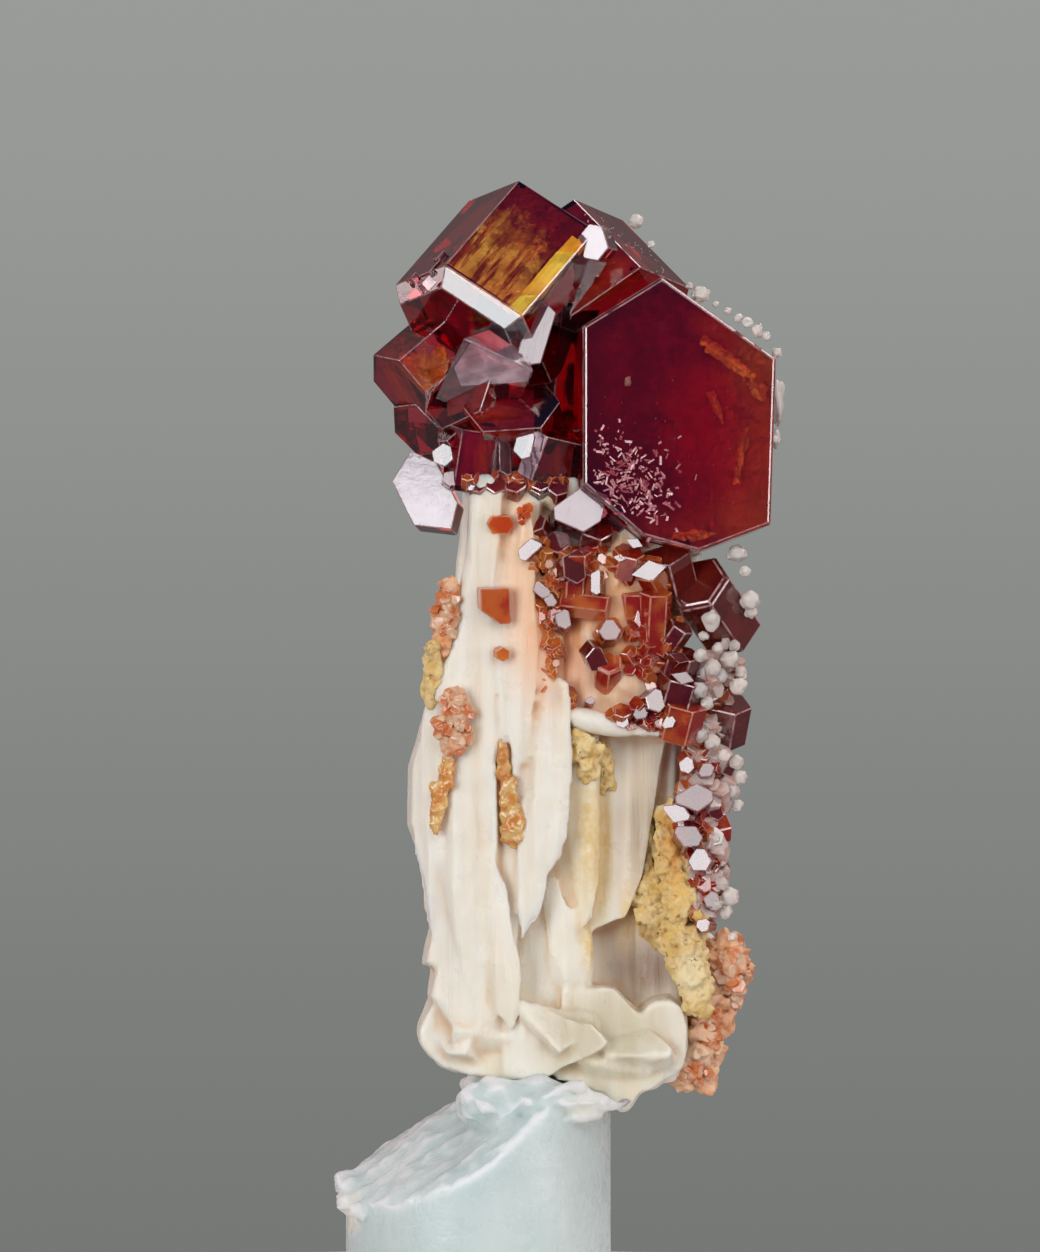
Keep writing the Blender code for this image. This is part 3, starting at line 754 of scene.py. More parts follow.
def to_mesh(name: str, bm: BMesh) -> Mesh:
    """Turn a shape in millimetres into a mesh in metres, its faces turned outwards.

    Args:
        name: the mesh's name.
        bm: the shape, freed here.

    Returns:
        The mesh.
    """
    bmesh.ops.recalc_face_normals(bm, faces=bm.faces[:])
    bmesh.ops.scale(bm, vec=(MM, MM, MM), verts=bm.verts[:])
    mesh = bpy.data.meshes.new(name)
    bm.to_mesh(mesh)
    bm.free()
    return mesh


def baked(item: Object, helpers: Iterable[Object] = ()) -> Object:
    """Apply an object's modifiers and remove the shapes that they read.

    Args:
        item: the object.
        helpers: objects that only its modifiers need.

    Returns:
        The same object, with its finished mesh.
    """
    evaluated = item.evaluated_get(bpy.context.evaluated_depsgraph_get())
    mesh = bpy.data.meshes.new_from_object(evaluated)
    item.modifiers.clear()
    item.data = mesh
    for helper in list(helpers):
        bpy.data.objects.remove(helper, do_unlink=True)
    return item


def joined(name: str, shapes: Sequence[BMesh]) -> Object:
    """Join shapes that grew into each other into one closed solid.

    Args:
        name: the piece's name.
        shapes: the shapes, in millimetres.

    Returns:
        The piece.
    """
    body = link(name, to_mesh(name, shapes[0]))
    others = bpy.data.collections.new(name + "_members")
    bpy.context.scene.collection.children.link(others)
    for index, shape in enumerate(shapes[1:]):
        link(f"{name}_member_{index}", to_mesh(name, shape), others)
    if len(shapes) > 1:
        union = body.modifiers.new("union", "BOOLEAN")
        union.operation = "UNION"
        union.operand_type = "COLLECTION"
        union.collection = others
    baked(body, others.objects)
    bpy.data.collections.remove(others)
    return body


def fused(name: str, shapes: Sequence[BMesh], voxel: float) -> Object:
    """Melt shapes into one closed skin of even small faces.

    Args:
        name: the piece's name.
        shapes: the shapes, in millimetres.
        voxel: the size of the faces.

    Returns:
        The piece, shaded smooth.
    """
    whole = bmesh.new()
    for shape in shapes:
        mesh = to_mesh(name + "_part", shape)
        whole.from_mesh(mesh)
        bpy.data.meshes.remove(mesh)
    mesh = bpy.data.meshes.new(name)
    whole.to_mesh(mesh)
    whole.free()
    item = link(name, mesh)
    remesh = item.modifiers.new("skin", "REMESH")
    remesh.mode = "VOXEL"
    remesh.voxel_size = voxel * MM
    remesh.use_smooth_shade = True
    return baked(item)


def sculpt(item: Object, move: Callable[[Vector, Vector], Vector], smooth: int = 0) -> None:
    """Move every point of a piece.

    Args:
        item: the piece.
        move: gives a point's shift from its place and normal, all in millimetres.
        smooth: how often the surface is smoothed first.
    """
    bm = bmesh.new()
    bm.from_mesh(item.data)
    for _ in range(smooth):
        bmesh.ops.smooth_vert(bm, verts=bm.verts[:], factor=0.5, use_axis_x=True, use_axis_y=True,
                              use_axis_z=True)
    bm.normal_update()
    shifts = [move(vert.co / MM, vert.normal) for vert in bm.verts]
    for vert, shift in zip(bm.verts, shifts):
        vert.co += shift * MM
    bm.to_mesh(item.data)
    bm.free()
    item.data.shade_smooth()


def dress(item: Object, material: Material, slot: Slot, *nodes: str) -> None:
    """Give a finished piece its material and body, and hide the solids that it stands for.

    Args:
        item: the piece.
        material: its material.
        slot: not used.
        nodes: the CAD nodes that it replaces.
    """
    item.data.materials.clear()
    item.data.materials.append(material)
    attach(item, Body.ROOT.value)
    if nodes:
        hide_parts(*nodes)
    LOG.info("%s: %d faces", item.name, len(item.data.polygons))


def hollows(item: Object, rounds: int) -> None:
    """Store at each point how far it lies below its surroundings, so that grooves and rims can differ.

    Args:
        item: the piece.
        rounds: how often the surroundings are averaged.
    """
    mesh = item.data
    count = len(mesh.vertices)
    places = np.empty(count * 3)
    mesh.vertices.foreach_get("co", places)
    places = places.reshape(-1, 3)
    normals = np.empty(count * 3)
    mesh.vertex_normals.foreach_get("vector", normals)
    pairs = np.empty(len(mesh.edges) * 2, dtype=np.int64)
    mesh.edges.foreach_get("vertices", pairs)
    pairs = pairs.reshape(-1, 2)
    degree = np.maximum(np.bincount(pairs.ravel(), minlength=count), 1)
    soft = places.copy()
    for _ in range(rounds):
        for axis in range(3):
            total = np.bincount(pairs[:, 0], weights=soft[pairs[:, 1], axis], minlength=count)
            total += np.bincount(pairs[:, 1], weights=soft[pairs[:, 0], axis], minlength=count)
            soft[:, axis] = 0.5 * soft[:, axis] + 0.5 * total / degree
    sunk = ((soft - places) * normals.reshape(-1, 3)).sum(axis=1) / MM
    layer = mesh.attributes.new("sunk", "FLOAT", "POINT")
    layer.data.foreach_set("value", sunk.astype(np.float32))


def carved(item: Object, tool: Object) -> Object:
    """Cut a piece with a closed shape, which is removed.

    Args:
        item: the piece.
        tool: the shape.

    Returns:
        The piece.
    """
    cut = item.modifiers.new("socket", "BOOLEAN")
    cut.operation = "DIFFERENCE"
    cut.solver = "MANIFOLD"
    cut.object = tool
    return baked(item, [tool])


def thinned(item: Object, triangles: int) -> Object:
    """Thin a fine mesh where it is flat.

    Args:
        item: the piece.
        triangles: the most triangles that it may keep.

    Returns:
        The piece.
    """
    have = sum(len(face.vertices) - 2 for face in item.data.polygons)
    if have > triangles:
        fewer = item.modifiers.new("fewer", "DECIMATE")
        fewer.ratio = triangles / have
        baked(item)
    return item


def loose(name: str, shapes: Iterable[BMesh]) -> Object:
    """Put closed shapes side by side in one piece.

    Args:
        name: the piece's name.
        shapes: the shapes, in millimetres.

    Returns:
        The piece.
    """
    whole = bmesh.new()
    for shape in shapes:
        mesh = to_mesh(name + "_part", shape)
        whole.from_mesh(mesh)
        bpy.data.meshes.remove(mesh)
    mesh = bpy.data.meshes.new(name)
    whole.to_mesh(mesh)
    whole.free()
    return link(name, mesh)


def ball(centre: Sequence[float], radii: Sequence[float], detail: int, seed: float = 0.0,
         uneven: float = 0.0) -> BMesh:
    """Make a drop, bead or grain.

    Args:
        centre: its middle.
        radii: its half sizes.
        detail: how often its faces are divided.
        seed: its own unevenness.
        uneven: how far its surface swells, as a share of its half size.

    Returns:
        The shape, in millimetres.
    """
    bm = bmesh.new()
    bmesh.ops.create_icosphere(bm, subdivisions=detail, radius=1.0)
    if uneven:
        for vert in bm.verts:
            vert.co *= 1.0 + uneven * noise.noise(vert.co * 1.7 + Vector((seed, 2.0 * seed, 0.0)))
    bmesh.ops.scale(bm, vec=tuple(radii), verts=bm.verts[:])
    bmesh.ops.translate(bm, vec=tuple(centre), verts=bm.verts[:])
    return bm


def seen_on(column: float, row: float, point: Vector, outward: Vector) -> Vector:
    """Find the place on a face that shows at a place of the photograph.

    Args:
        column: pixels from the photograph's left edge.
        row: pixels from its top edge.
        point: a point of the face.
        outward: the way that the face looks.

    Returns:
        The place, in millimetres.
    """
    x, z = in_photo(column, row)
    drop = outward.x * (x - point.x) + outward.z * (z - point.z)
    return Vector((x, point.y - drop / outward.y, z))


def lying(outward: Vector, light: Vector) -> Vector:
    """Find how a sheet inside a crystal lies if it shows a light to the front through a face.

    Args:
        outward: the way that the face looks.
        light: the way to the light.

    Returns:
        The sheet's normal.
    """
    rays = []
    for ray, sign in ((Vector((0.0, 1.0, 0.0)), -1.0), (light.normalized(), 1.0)):
        aside = (ray - ray.dot(outward) * outward) / CRYSTAL_IOR
        rays.append(aside + outward * sign * math.sqrt(1.0 - aside.length_squared))
    return (rays[1] - rays[0]).normalized()


@dataclass(frozen=True)
class Veil:
    """A healed crack inside a crystal, or a sheet of painted shade, reflection or highlight: a crumpled sheet that
    stays within its host.

    It shows through one face of its host at a place of the photograph, as deep below the face as depth says,
    and lies so that it catches one light. half is its half size across and along, crumple how deep its folds
    are, torn the share of it that is missing, ragged how deep its rim is frayed, and terrace the length of its
    steps, or 0 for one plain sheet.
    """

    host: int
    face: int
    spot: tuple[float, float] | None
    depth: float
    light: Point | None
    along: Point
    half: tuple[float, float]
    crumple: float = 0.08
    grain: float = 1.2
    torn: float = 0.0
    ragged: float = 0.0
    terrace: float = 0.0
    inset: float = 0.06
    steps: int = 70
    thick: float = 0.015

    def frayed(self, face: BMFace, layers: Sequence[BMLayerItem]) -> bool:
        """Tell whether a face of the sheet is missing.

        Args:
            face: the face.
            layers: where its points hold their places across and along the sheet.

        Returns:
            True if it is.
        """
        middle = face.calc_center_median()
        if self.torn and noise.noise(middle * 0.9 + Vector((self.host, 4, 8))) > 0.5 - self.torn:
            return True
        across, along = (abs(2 * face.verts[0][layer] - 1) for layer in layers)
        return max(across, along) > 1.0 - self.ragged * (0.5 + noise.fractal(middle * 0.8, 0.8, 2.0, 4))

    def shape(self, host: Crystal) -> BMesh:
        """Crumple a grid and trim it to the crystal.

        Args:
            host: the crystal that it lies in.

        Returns:
            The sheet, in millimetres.
        """
        point, outward = list(host.planes())[self.face]
        centre = (seen_on(*self.spot, point, outward) if self.spot else point) - outward * self.depth
        lit = lying(outward, Vector(self.light)) if self.light else outward
        slope = lit / lit.dot(outward) - outward
        downhill = slope.normalized()
        along = Vector(self.along)
        along = (along - along.dot(outward) * outward).normalized()
        across = along.cross(outward)
        bm = bmesh.new()
        bmesh.ops.create_grid(bm, x_segments=self.steps, y_segments=self.steps, size=1.0)
        layers = [bm.verts.layers.float.new(name) for name in ("across", "along")]
        for vert in bm.verts:
            u, v = vert.co.x, vert.co.y
            vert[layers[0]] = (u + 1) / 2
            vert[layers[1]] = (v + 1) / 2
            offset = across * (u * self.half[0]) + along * (v * self.half[1])
            place = centre + offset
            run = offset.dot(downhill)
            if self.terrace:
                run = math.remainder(run + 0.5 * noise.noise(place * 0.9), self.terrace)
            fold = noise.fractal(place / self.grain, 0.8, 2.0, 4)
            vert.co = place + outward * (self.crumple * fold - slope.length * run)
        gone = [face for face in bm.faces if self.frayed(face, layers)]
        bmesh.ops.delete(bm, geom=gone, context="FACES")
        for point, outward in host.planes(-self.inset):
            bmesh.ops.bisect_plane(bm, geom=bm.verts[:] + bm.edges[:] + bm.faces[:], dist=1e-5,
                                   plane_co=point, plane_no=outward, clear_outer=True)
        bmesh.ops.solidify(bm, geom=bm.faces[:], thickness=self.thick)
        return bm


FRONT_LEFT = (0.10, -0.87, 0.49)
TO_KEY = (-0.30, -0.95, 0.06)
TO_FRONT_HIGH = (0.10, -0.96, 0.27)
PRISM_AXIS = (0.57, 0.46, 0.68)
TO_LEFT = (-178.0, -246.0, 23.0)
TO_HIGH = (50.0, -246.0, 150.0)
TO_TOP = (125.0, 88.0, 235.0)
TO_FILL = (255.0, -158.0, 45.0)
CRYSTAL_IOR = 2.1


def mirrors(facets: Iterable[tuple[float, float, float, float, float, float, Point]]) -> Iterator[Crystal]:
    """Make the crystals whose ends catch a light.

    Args:
        facets: column and row in the photograph, Y, half width, half height, turn in degrees, and aim.

    Yields:
        Each crystal.
    """
    for column, row, y, wide, tall, turn, aim in facets:
        x, z = in_photo(column, row)
        angle = math.radians(turn)
        yield Crystal((x, y, z), aim, (math.cos(angle), 0.0, math.sin(angle)),
                      (wide, tall, 0.8 * tall, wide, 0.9 * tall, tall), 1.1, 0.0, (0, 55, 115, 180, 240, 300))


@dataclass
class Crown:
    """The big crystals at the top and the small ones that hang under them."""

    finish: CrystalFinish = CrystalFinish("deep_red_vanadinite", dusty=0.03)
    gold: VeilFinish = VeilFinish(
        "golden_crack",
        ((0.03, (0.60, 0.16, 0.03)), (0.18, (1.0, 0.70, 0.07)), (0.42, (0.70, 0.30, 0.03)),
         (0.60, (0.95, 0.48, 0.05)), (0.72, (0.30, 0.06, 0.01)), (0.90, (0.60, 0.20, 0.03))),
        (0.26, 0.01, 0.012), metal=1.0, streak=7.0, rough=0.36, relief=0.6, fade=(0.50, 0.80),
        near=(1.0, 1.0, 0.12))
    # A painted highlight: a bright yellow metal sheet, lying to catch the high lamp, stands for light shining through
    # the lower edge of the golden face.
    strip: VeilFinish = VeilFinish(
        "yellow_painted_highlight", ((0.0, (1.0, 0.75, 0.05)), (0.5, (1.0, 1.0, 0.18)), (1.0, (1.0, 0.70, 0.04))),
        (1.0, 0.66, 0.02), metal=1.0, streak=5.0, rough=0.29, relief=0.10)
    red: VeilFinish = VeilFinish(
        "red_crack", ((0.0, (0.55, 0.02, 0.10)), (0.45, (0.75, 0.03, 0.06)), (0.75, (1.0, 0.20, 0.05)),
                      (1.0, (1.0, 0.42, 0.06))),
        (0.50, 0.03, 0.08), metal=1.0, streak=2.5, rough=0.56, relief=0.25, spots=(
            # The maroon and red spots are the crystal's own tone; the orange and yellow ones on its right and along
            # its bottom are partly its own zoning and partly painted glow of light coming through its thinner parts.
            ((7.2, -3.0, 39.6), (3.4, 4.0, 2.6), (0.52, 0.0, 0.13)),
            ((8.9, -3.0, 36.4), (2.2, 4.0, 4.0), (1.0, 0.02, 0.07)),
            ((10.0, -3.0, 40.6), (1.7, 4.0, 1.3), (1.0, 0.30, 0.06)),
            ((11.5, -3.0, 39.0), (1.7, 4.0, 2.0), (1.0, 0.66, 0.08)),
            ((11.8, -3.0, 35.6), (1.8, 4.0, 4.4), (1.0, 0.34, 0.05)),
            ((11.2, -3.0, 32.4), (2.6, 4.0, 1.9), (1.0, 0.55, 0.10)),
            ((8.2, -3.0, 31.8), (4.0, 4.0, 1.5), (1.0, 0.46, 0.10)),
            ((-0.9, -2.3, 38.0), (1.7, 1.7, 1.7), (0.40, 0.10, 0.15)),
        ))
    orange: VeilFinish = VeilFinish(
        "orange_crack", ((0.0, (1.0, 0.22, 0.04)), (0.5, (1.0, 0.42, 0.06)), (1.0, (1.0, 0.62, 0.08))),
        (0.90, 0.16, 0.03), metal=1.0, streak=3.0, rough=0.42, relief=0.20)
    # The lilac and rosy sheets under some faces are painted reflections of the surroundings; the lilac shines are
    # painted reflections too, sheets that lie to catch one lamp.
    skin: VeilFinish = VeilFinish(
        "painted_lilac_reflection", ((0.0, (0.86, 0.78, 0.84)), (0.5, (0.92, 0.88, 0.92)), (1.0, (0.84, 0.72, 0.78))),
        (0.66, 0.46, 0.54), streak=9.0, rough=0.25)
    shine: VeilFinish = VeilFinish(
        "lilac_shine", ((0.0, (0.70, 0.58, 0.64)), (0.5, (0.80, 0.70, 0.76)), (1.0, (0.66, 0.54, 0.60))),
        (0.56, 0.38, 0.44), streak=9.0, rough=0.42, metal=0.9, relief=0.2)
    golden: tuple[Veil, ...] = (
        Veil(0, 2, (520, 245), 0.40, TO_HIGH, PRISM_AXIS, (2.0, 2.5), 0.035, 0.6, inset=0.08),)
    # The sheet of the painted yellow highlight, along the golden face's lower edge.
    bright: tuple[Veil, ...] = (
        Veil(0, 2, (547, 275), 0.20, TO_HIGH, PRISM_AXIS, (0.36, 2.6), 0.008, 0.4, 0.0, 0.10, 2.4, 0.04),
    )
    rosy: VeilFinish = VeilFinish(
        "painted_rosy_reflection", ((0.0, (0.56, 0.44, 0.48)), (0.5, (0.66, 0.55, 0.58)), (1.0, (0.50, 0.38, 0.43))),
        (0.40, 0.27, 0.32), streak=9.0, rough=0.25)
    # Faces that get a painted reflection sheet: crystal, face, and the lamp that the sheet catches, if any.
    lilac_reflecting: tuple[tuple[int, int, None], ...] = ((11, 0, None), (12, 0, None), (22, 0, None))
    rosy_reflecting: tuple[tuple[int, int, None], ...] = ((23, 0, None),)
    shining: tuple[tuple[int, int, Point], ...] = ((6, 0, TO_TOP), (9, 3, TO_FILL), (10, 7, TO_LEFT))
    broad: tuple[Veil, ...] = (Veil(6, 5, (492, 360), 0.36, TO_LEFT, (0.9, 0, 0.4), (1.8, 1.8), 0.012, 0.7, inset=0.03),)
    # Painted shade: a near-black sheet under one face of crystal 8, where there is only shade.
    shaded: tuple[Veil, ...] = (
        Veil(8, 3, (572, 385), 0.30, None, (0, 0, 1), (1.1, 3.4), 0.05, 0.8, inset=0.03),)
    shade: VeilFinish = VeilFinish(
        "painted_shade_sheet", ((0.0, (0.05, 0.008, 0.008)), (0.6, (0.09, 0.012, 0.012)), (1.0, (0.04, 0.006, 0.006))),
        (0.03, 0.004, 0.005), rough=0.5, relief=0.3)
    specks: int = 46
    red_veils: tuple[Veil, ...] = (
        Veil(1, 0, (683, 415), 1.35, TO_LEFT, (0, 0, 1), (5.0, 6.2), 0.14, 1.6),
        Veil(5, 0, (480, 365), 0.30, TO_LEFT, (1, 0, 0), (1.8, 1.8), 0.03, 0.8),
        Veil(2, 3, (600, 250), 0.50, TO_TOP, (0.5, 0, 0.5), (3.0, 3.0), 0.06, 1.0, 0.1),
        Veil(8, 2, (543, 340), 0.60, TO_LEFT, (0, 0, 1), (0.45, 1.6), 0.05, 0.8, 0.1, 0.5),
        Veil(3, 0, (385, 380), 0.40, TO_LEFT, (0, 0, 1), (1.4, 1.4), 0.04, 0.6, 0.1),
        Veil(9, 2, (473, 455), 0.50, TO_LEFT, (0, 0, 1), (1.1, 1.3), 0.03, 0.5),
        Veil(10, 2, (552, 465), 0.60, TO_FILL, (0, 0, 1), (1.0, 1.0), 0.03, 0.5, 0.1),
        Veil(7, 0, (495, 400), 0.40, TO_HIGH, (1, 0, 0), (1.6, 1.6), 0.05, 0.6, 0.1),
        Veil(0, 0, (430, 325), 0.50, TO_LEFT, (1, 0, 0), (2.4, 1.8), 0.05, 0.8, 0.2),
        Veil(17, 0, None, 0.6, None, (1, 0, 0), (2.0, 2.0), 0.3, 0.9, 0.2),
        Veil(18, 0, None, 0.6, None, (0, 0, 1), (2.3, 2.3), 0.3, 0.9, 0.2),
    )
    orange_veils: tuple[Veil, ...] = (
        Veil(1, 0, (738, 366), 0.38, TO_LEFT, (0.83, 0, -0.56), (0.30, 1.9), 0.05, 0.6, 0.15, 1.0, 0, 0.05),
        Veil(1, 0, (757, 392), 0.36, TO_LEFT, (0.6, 0, -0.8), (0.22, 1.0), 0.05, 0.6, 0.10, 1.0, 0, 0.05),
        Veil(1, 0, (741, 455), 0.60, TO_LEFT, (0.15, 0, 1), (0.26, 2.2), 0.06, 0.6, 0.10, 1.0, 0, 0.05),
        Veil(1, 0, (722, 420), 0.80, TO_LEFT, (-0.4, 0, 1), (0.18, 1.3), 0.06, 0.6, 0.10, 1.0, 0, 0.05),
        Veil(1, 0, (712, 534), 0.45, TO_LEFT, (1, 0, 0.12), (0.28, 2.0), 0.05, 0.6, 0.10, 1.0, 0, 0.05),
        Veil(3, 7, (424, 368), 0.35, TO_HIGH, (0, 0, 1), (1.4, 1.4), 0.04, 0.6, 0.15, 0.5),
        Veil(4, 7, (418, 425), 0.35, TO_TOP, (0, 0, 1), (1.2, 1.2), 0.04, 0.6, 0.2, 0.5),
    )
    growth_steps: tuple[tuple[float, float, float], ...] = (     # column, row and half width
        (431, 268, 0.42), (424, 283, 0.30), (441, 257, 0.24), (414, 279, 0.22))
    facets: tuple[tuple[float, float, float, float, float, float, Point], ...] = (
        (524, 444, -4.00, 0.40, 0.62, -14, TO_KEY), (505, 450, -3.75, 0.26, 1.00, 2, (0.35, -0.92, 0.15)),
        (442, 455, -3.50, 0.42, 0.48, 10, TO_KEY), (471, 488, -3.95, 0.30, 0.14, 25, TO_KEY),
        (450, 478, -3.45, 0.30, 0.36, -10, TO_FRONT_HIGH))
    edge: float = 0.038
    crystals: tuple[Crystal, ...] = (
        Crystal((-0.5, -1.2, 39.9), (-0.57, -0.46, -0.68), FRONT_LEFT, (3.4, 3.4, 3.7, 3.4, 3.4, 3.4), 6.05, 0.6),
        Crystal((8.4, -4.2, 36.7), (0.10, -0.99, 0.05), (1, 0, 0), (3.95, 4.4, 5.4, 4.05, 4.75, 5.15, 5.45),
                6.0, 0.12, (-2, 55, 122, 180, 229, 255, 291)),
        Crystal((6.0, 1.0, 40.3), (0.56, -0.57, -0.60), (0.59, -0.23, 0.77), 3.15, 5.0),
        Crystal((-3.3, -1.4, 38.1), (-0.67, -0.46, -0.59), (-0.37, -0.49, 0.80), 1.5, 3.6),
        Crystal((-2.6, -0.6, 36.3), (-0.60, -0.60, -0.53), (-0.40, -0.30, 0.80), 1.2, 3.0),
        Crystal((-0.9, -2.3, 38.2), (-0.61, -0.73, 0.32), (0.73, -0.67, -0.13), 1.76, 3.5),
        Crystal((1.1, -3.4, 39.9), (0.36, -0.60, 0.72), (0.23, 0.80, 0.55), (1.0, 0.9, 1.9, 1.0, 1.9, 0.9), 3.4),
        Crystal((1.3, -3.4, 37.2), (-0.10, -0.75, 0.66), (0, 0.66, 0.75), (1.1, 1.8, 1.6, 1.3, 1.8, 1.9), 3.0),
        Crystal((3.5, 0.0, 43.0), (0.08, -0.10, 0.98), (-0.45, -0.90, 0.0), 1.7, 10.0),
        Crystal((0.15, -2.5, 36.3), (0.15, -0.12, 0.98), (-0.04, -1, -0.1), (1.3, 1.3, 1.2, 1.3, 1.0, 1.3), 2.6),
        Crystal((3.45, -3.2, 36.1), (0.33, -0.26, 0.90), (0.42, -0.90, -0.1), (1.0, 1.35, 1.3, 1.2, 1.1, 1.4), 2.0),
        Crystal((-2.0, -2.9, 33.6), (-0.20, -0.95, 0.20), (1, 0, 0), (1.25, 0.85, 1.3, 1.7, 1.2, 1.4), 1.3, 0,
                (-15, 27, 63, 148, 206, 261)),
        Crystal((4.25, -4.3, 32.9), (0.10, -0.97, 0.20), (1, 0, 0), (0.95, 1.0, 0.75, 1.1, 0.8, 0.85), 2.8, 0,
                (-14, 71, 127, 184, 247, 303)),
        Crystal((-1.3, -3.0, 36.1), (-0.5, -0.5, 0.7), (1, 0, 0), 0.45, 2.0),
        Crystal((-1.5, -3.1, 35.2), (-0.7, -0.7, 0.1), (0, 0, 1), 0.4, 2.0),
        Crystal((5.6, -3.4, 33.2), (-0.3, -0.9, -0.2), (0.4, 0, 1), 1.1, 2.4),
        Crystal((2.6, -3.3, 34.3), (0.2, -0.8, 0.5), (1, 0, 0), 0.8, 2.2),
        Crystal((1.2, 4.2, 39.3), (-0.20, 0.85, 0.48), (1, 0, 0), 2.3, 5.0, 0.3),
        Crystal((6.9, 4.4, 36.3), (0.35, 0.90, 0.10), (0, 0, 1), 2.6, 4.5, 0.35),
        Crystal((2.8, 4.0, 34.6), (-0.30, 0.80, -0.40), (1, 0, 0.3), 1.4, 3.5),
        Crystal((-1.8, 2.2, 36.4), (-0.80, 0.50, 0.10), (0, 0, 1), 1.4, 3.5),
        Crystal((10.6, 1.6, 34.6), (0.85, 0.40, -0.10), (0, 0, 1), 1.5, 3.5),
        Crystal((4.75, -2.10, 44.1), (-0.32, -0.94, 0.05), (0.2, 0, 1), (0.75, 0.62, 0.55, 0.70, 0.70, 0.62), 1.3),
        Crystal((2.45, -3.35, 40.2), (0.10, -0.97, 0.20), (1, 0, -0.3), (0.50, 1.25, 1.3, 0.55, 1.35, 1.2), 1.4),
    )

    def steps(self) -> Iterator[Crystal]:
        """Little square plates stepping up the left face of the first crystal, with its own axes.

        Yields:
            Each plate.
        """
        host = self.crystals[0]
        point, outward = list(host.planes())[4]
        for index, (column, row, half) in enumerate(self.growth_steps):
            place = seen_on(column, row, point, outward)
            yield Crystal(tuple(place + outward * (0.10 + 0.05 * index)), tuple(outward), host.aim, half, 0.5, 0.0,
                          QUARTERS)

    def etchings(self) -> Iterator[BMesh]:
        """Slivers left by etching on the broad face of the largest crystal.

        Yields:
            Each sliver, in millimetres.
        """
        pick = random.Random(5)
        point, outward = next(self.crystals[1].planes())
        for _ in range(260):
            column = pick.gauss(630, 23)
            row = pick.gauss(482, 21) + 0.25 * (column - 632)
            if column < 592 or row > column - 95:
                continue
            place = seen_on(column, row, point, outward)
            lean = Vector((pick.uniform(-0.45, 0.45), 0, pick.uniform(-0.45, 0.45)))
            turn = pick.uniform(0, math.pi)
            wide = pick.uniform(0.02, 0.05)
            long = pick.uniform(0.04, 0.20)
            yield Crystal(tuple(place + outward * 0.04), tuple(outward + lean), (math.cos(turn), 0, math.sin(turn)),
                          (wide, long, wide, long), 0.12, 0.0, QUARTERS).shape(0)

    @staticmethod
    def reflection_sheets(faces: Iterable[tuple[int, int, Point | None]]) -> tuple[Veil, ...]:
        """Lay a thin pale sheet just under some faces, as a painted reflection.

        Args:
            faces: the crystal, its face and the light that the sheet catches, for each.

        Returns:
            The sheets.
        """
        return tuple(Veil(host, face, None, 0.07, light, (0.3, 0.0, 1.0), (3.0, 3.0), 0.004, 0.9, terrace=0.4,
                          inset=0.03) for host, face, light in faces)

    def inclusions(self) -> Iterator[BMesh]:
        """Tiny grains inside the largest crystal.

        Yields:
            Each grain, in millimetres.
        """
        pick = random.Random(12)
        point, outward = next(self.crystals[1].planes())
        for _ in range(self.specks):
            place = seen_on(pick.uniform(600, 765), pick.uniform(350, 520), point, outward)
            size = pick.uniform(0.015, 0.045)
            yield ball(place - outward * pick.uniform(0.3, 1.8), (size, size, 1.5 * size), 1)
        place = seen_on(628, 382, point, outward)
        yield ball(place - outward * 0.15, (0.13, 0.05, 0.20), 2, 3, 0.8)

    def build(self) -> Object:
        """Make the crown.

        Returns:
            A closed shape a little larger than the crown, for cutting its socket.
        """
        members = self.crystals + tuple(self.steps()) + tuple(mirrors(self.facets))
        piece = joined("crown", [crystal.shape(self.edge) for crystal in members])
        dress(piece, self.finish.material(), Slot.VANADINITE, "crown_crystals")
        marks = loose("etched_slivers", self.etchings())
        dress(marks, DruseFinish("etched_red", (0.85, 0.34, 0.36), (0.55, 0.08, 0.10), 0.4, 0.10, 1.8).material(),
              Slot.VANADINITE)
        for name, veils, finish in (("golden_veil", self.golden, self.gold),
                                    ("painted_yellow_highlights", self.bright, self.strip),
                                    ("red_veils", self.red_veils, self.red),
                                    ("orange_veils", self.orange_veils, self.orange),
                                    ("painted_lilac_reflections", self.reflection_sheets(self.lilac_reflecting), self.skin),
                                    ("painted_rosy_reflections", self.reflection_sheets(self.rosy_reflecting), self.rosy),
                                    ("painted_shade_veils", self.shaded, self.shade),
                                    ("lilac_shines", self.reflection_sheets(self.shining) + self.broad, self.shine)):
            sheets = loose(name, [veil.shape(self.crystals[veil.host]) for veil in veils])
            dress(sheets, finish.material(), Slot.VANADINITE)
        dots = loose("inclusions", self.inclusions())
        dress(dots, DruseFinish("pale_inclusions", (1.0, 0.80, 0.60), (1.0, 0.45, 0.25), 0.0, 0.2, 1.5).material(),
              Slot.VANADINITE)
        return joined("crown_socket", [crystal.shape(0, 0.03) for crystal in self.crystals])


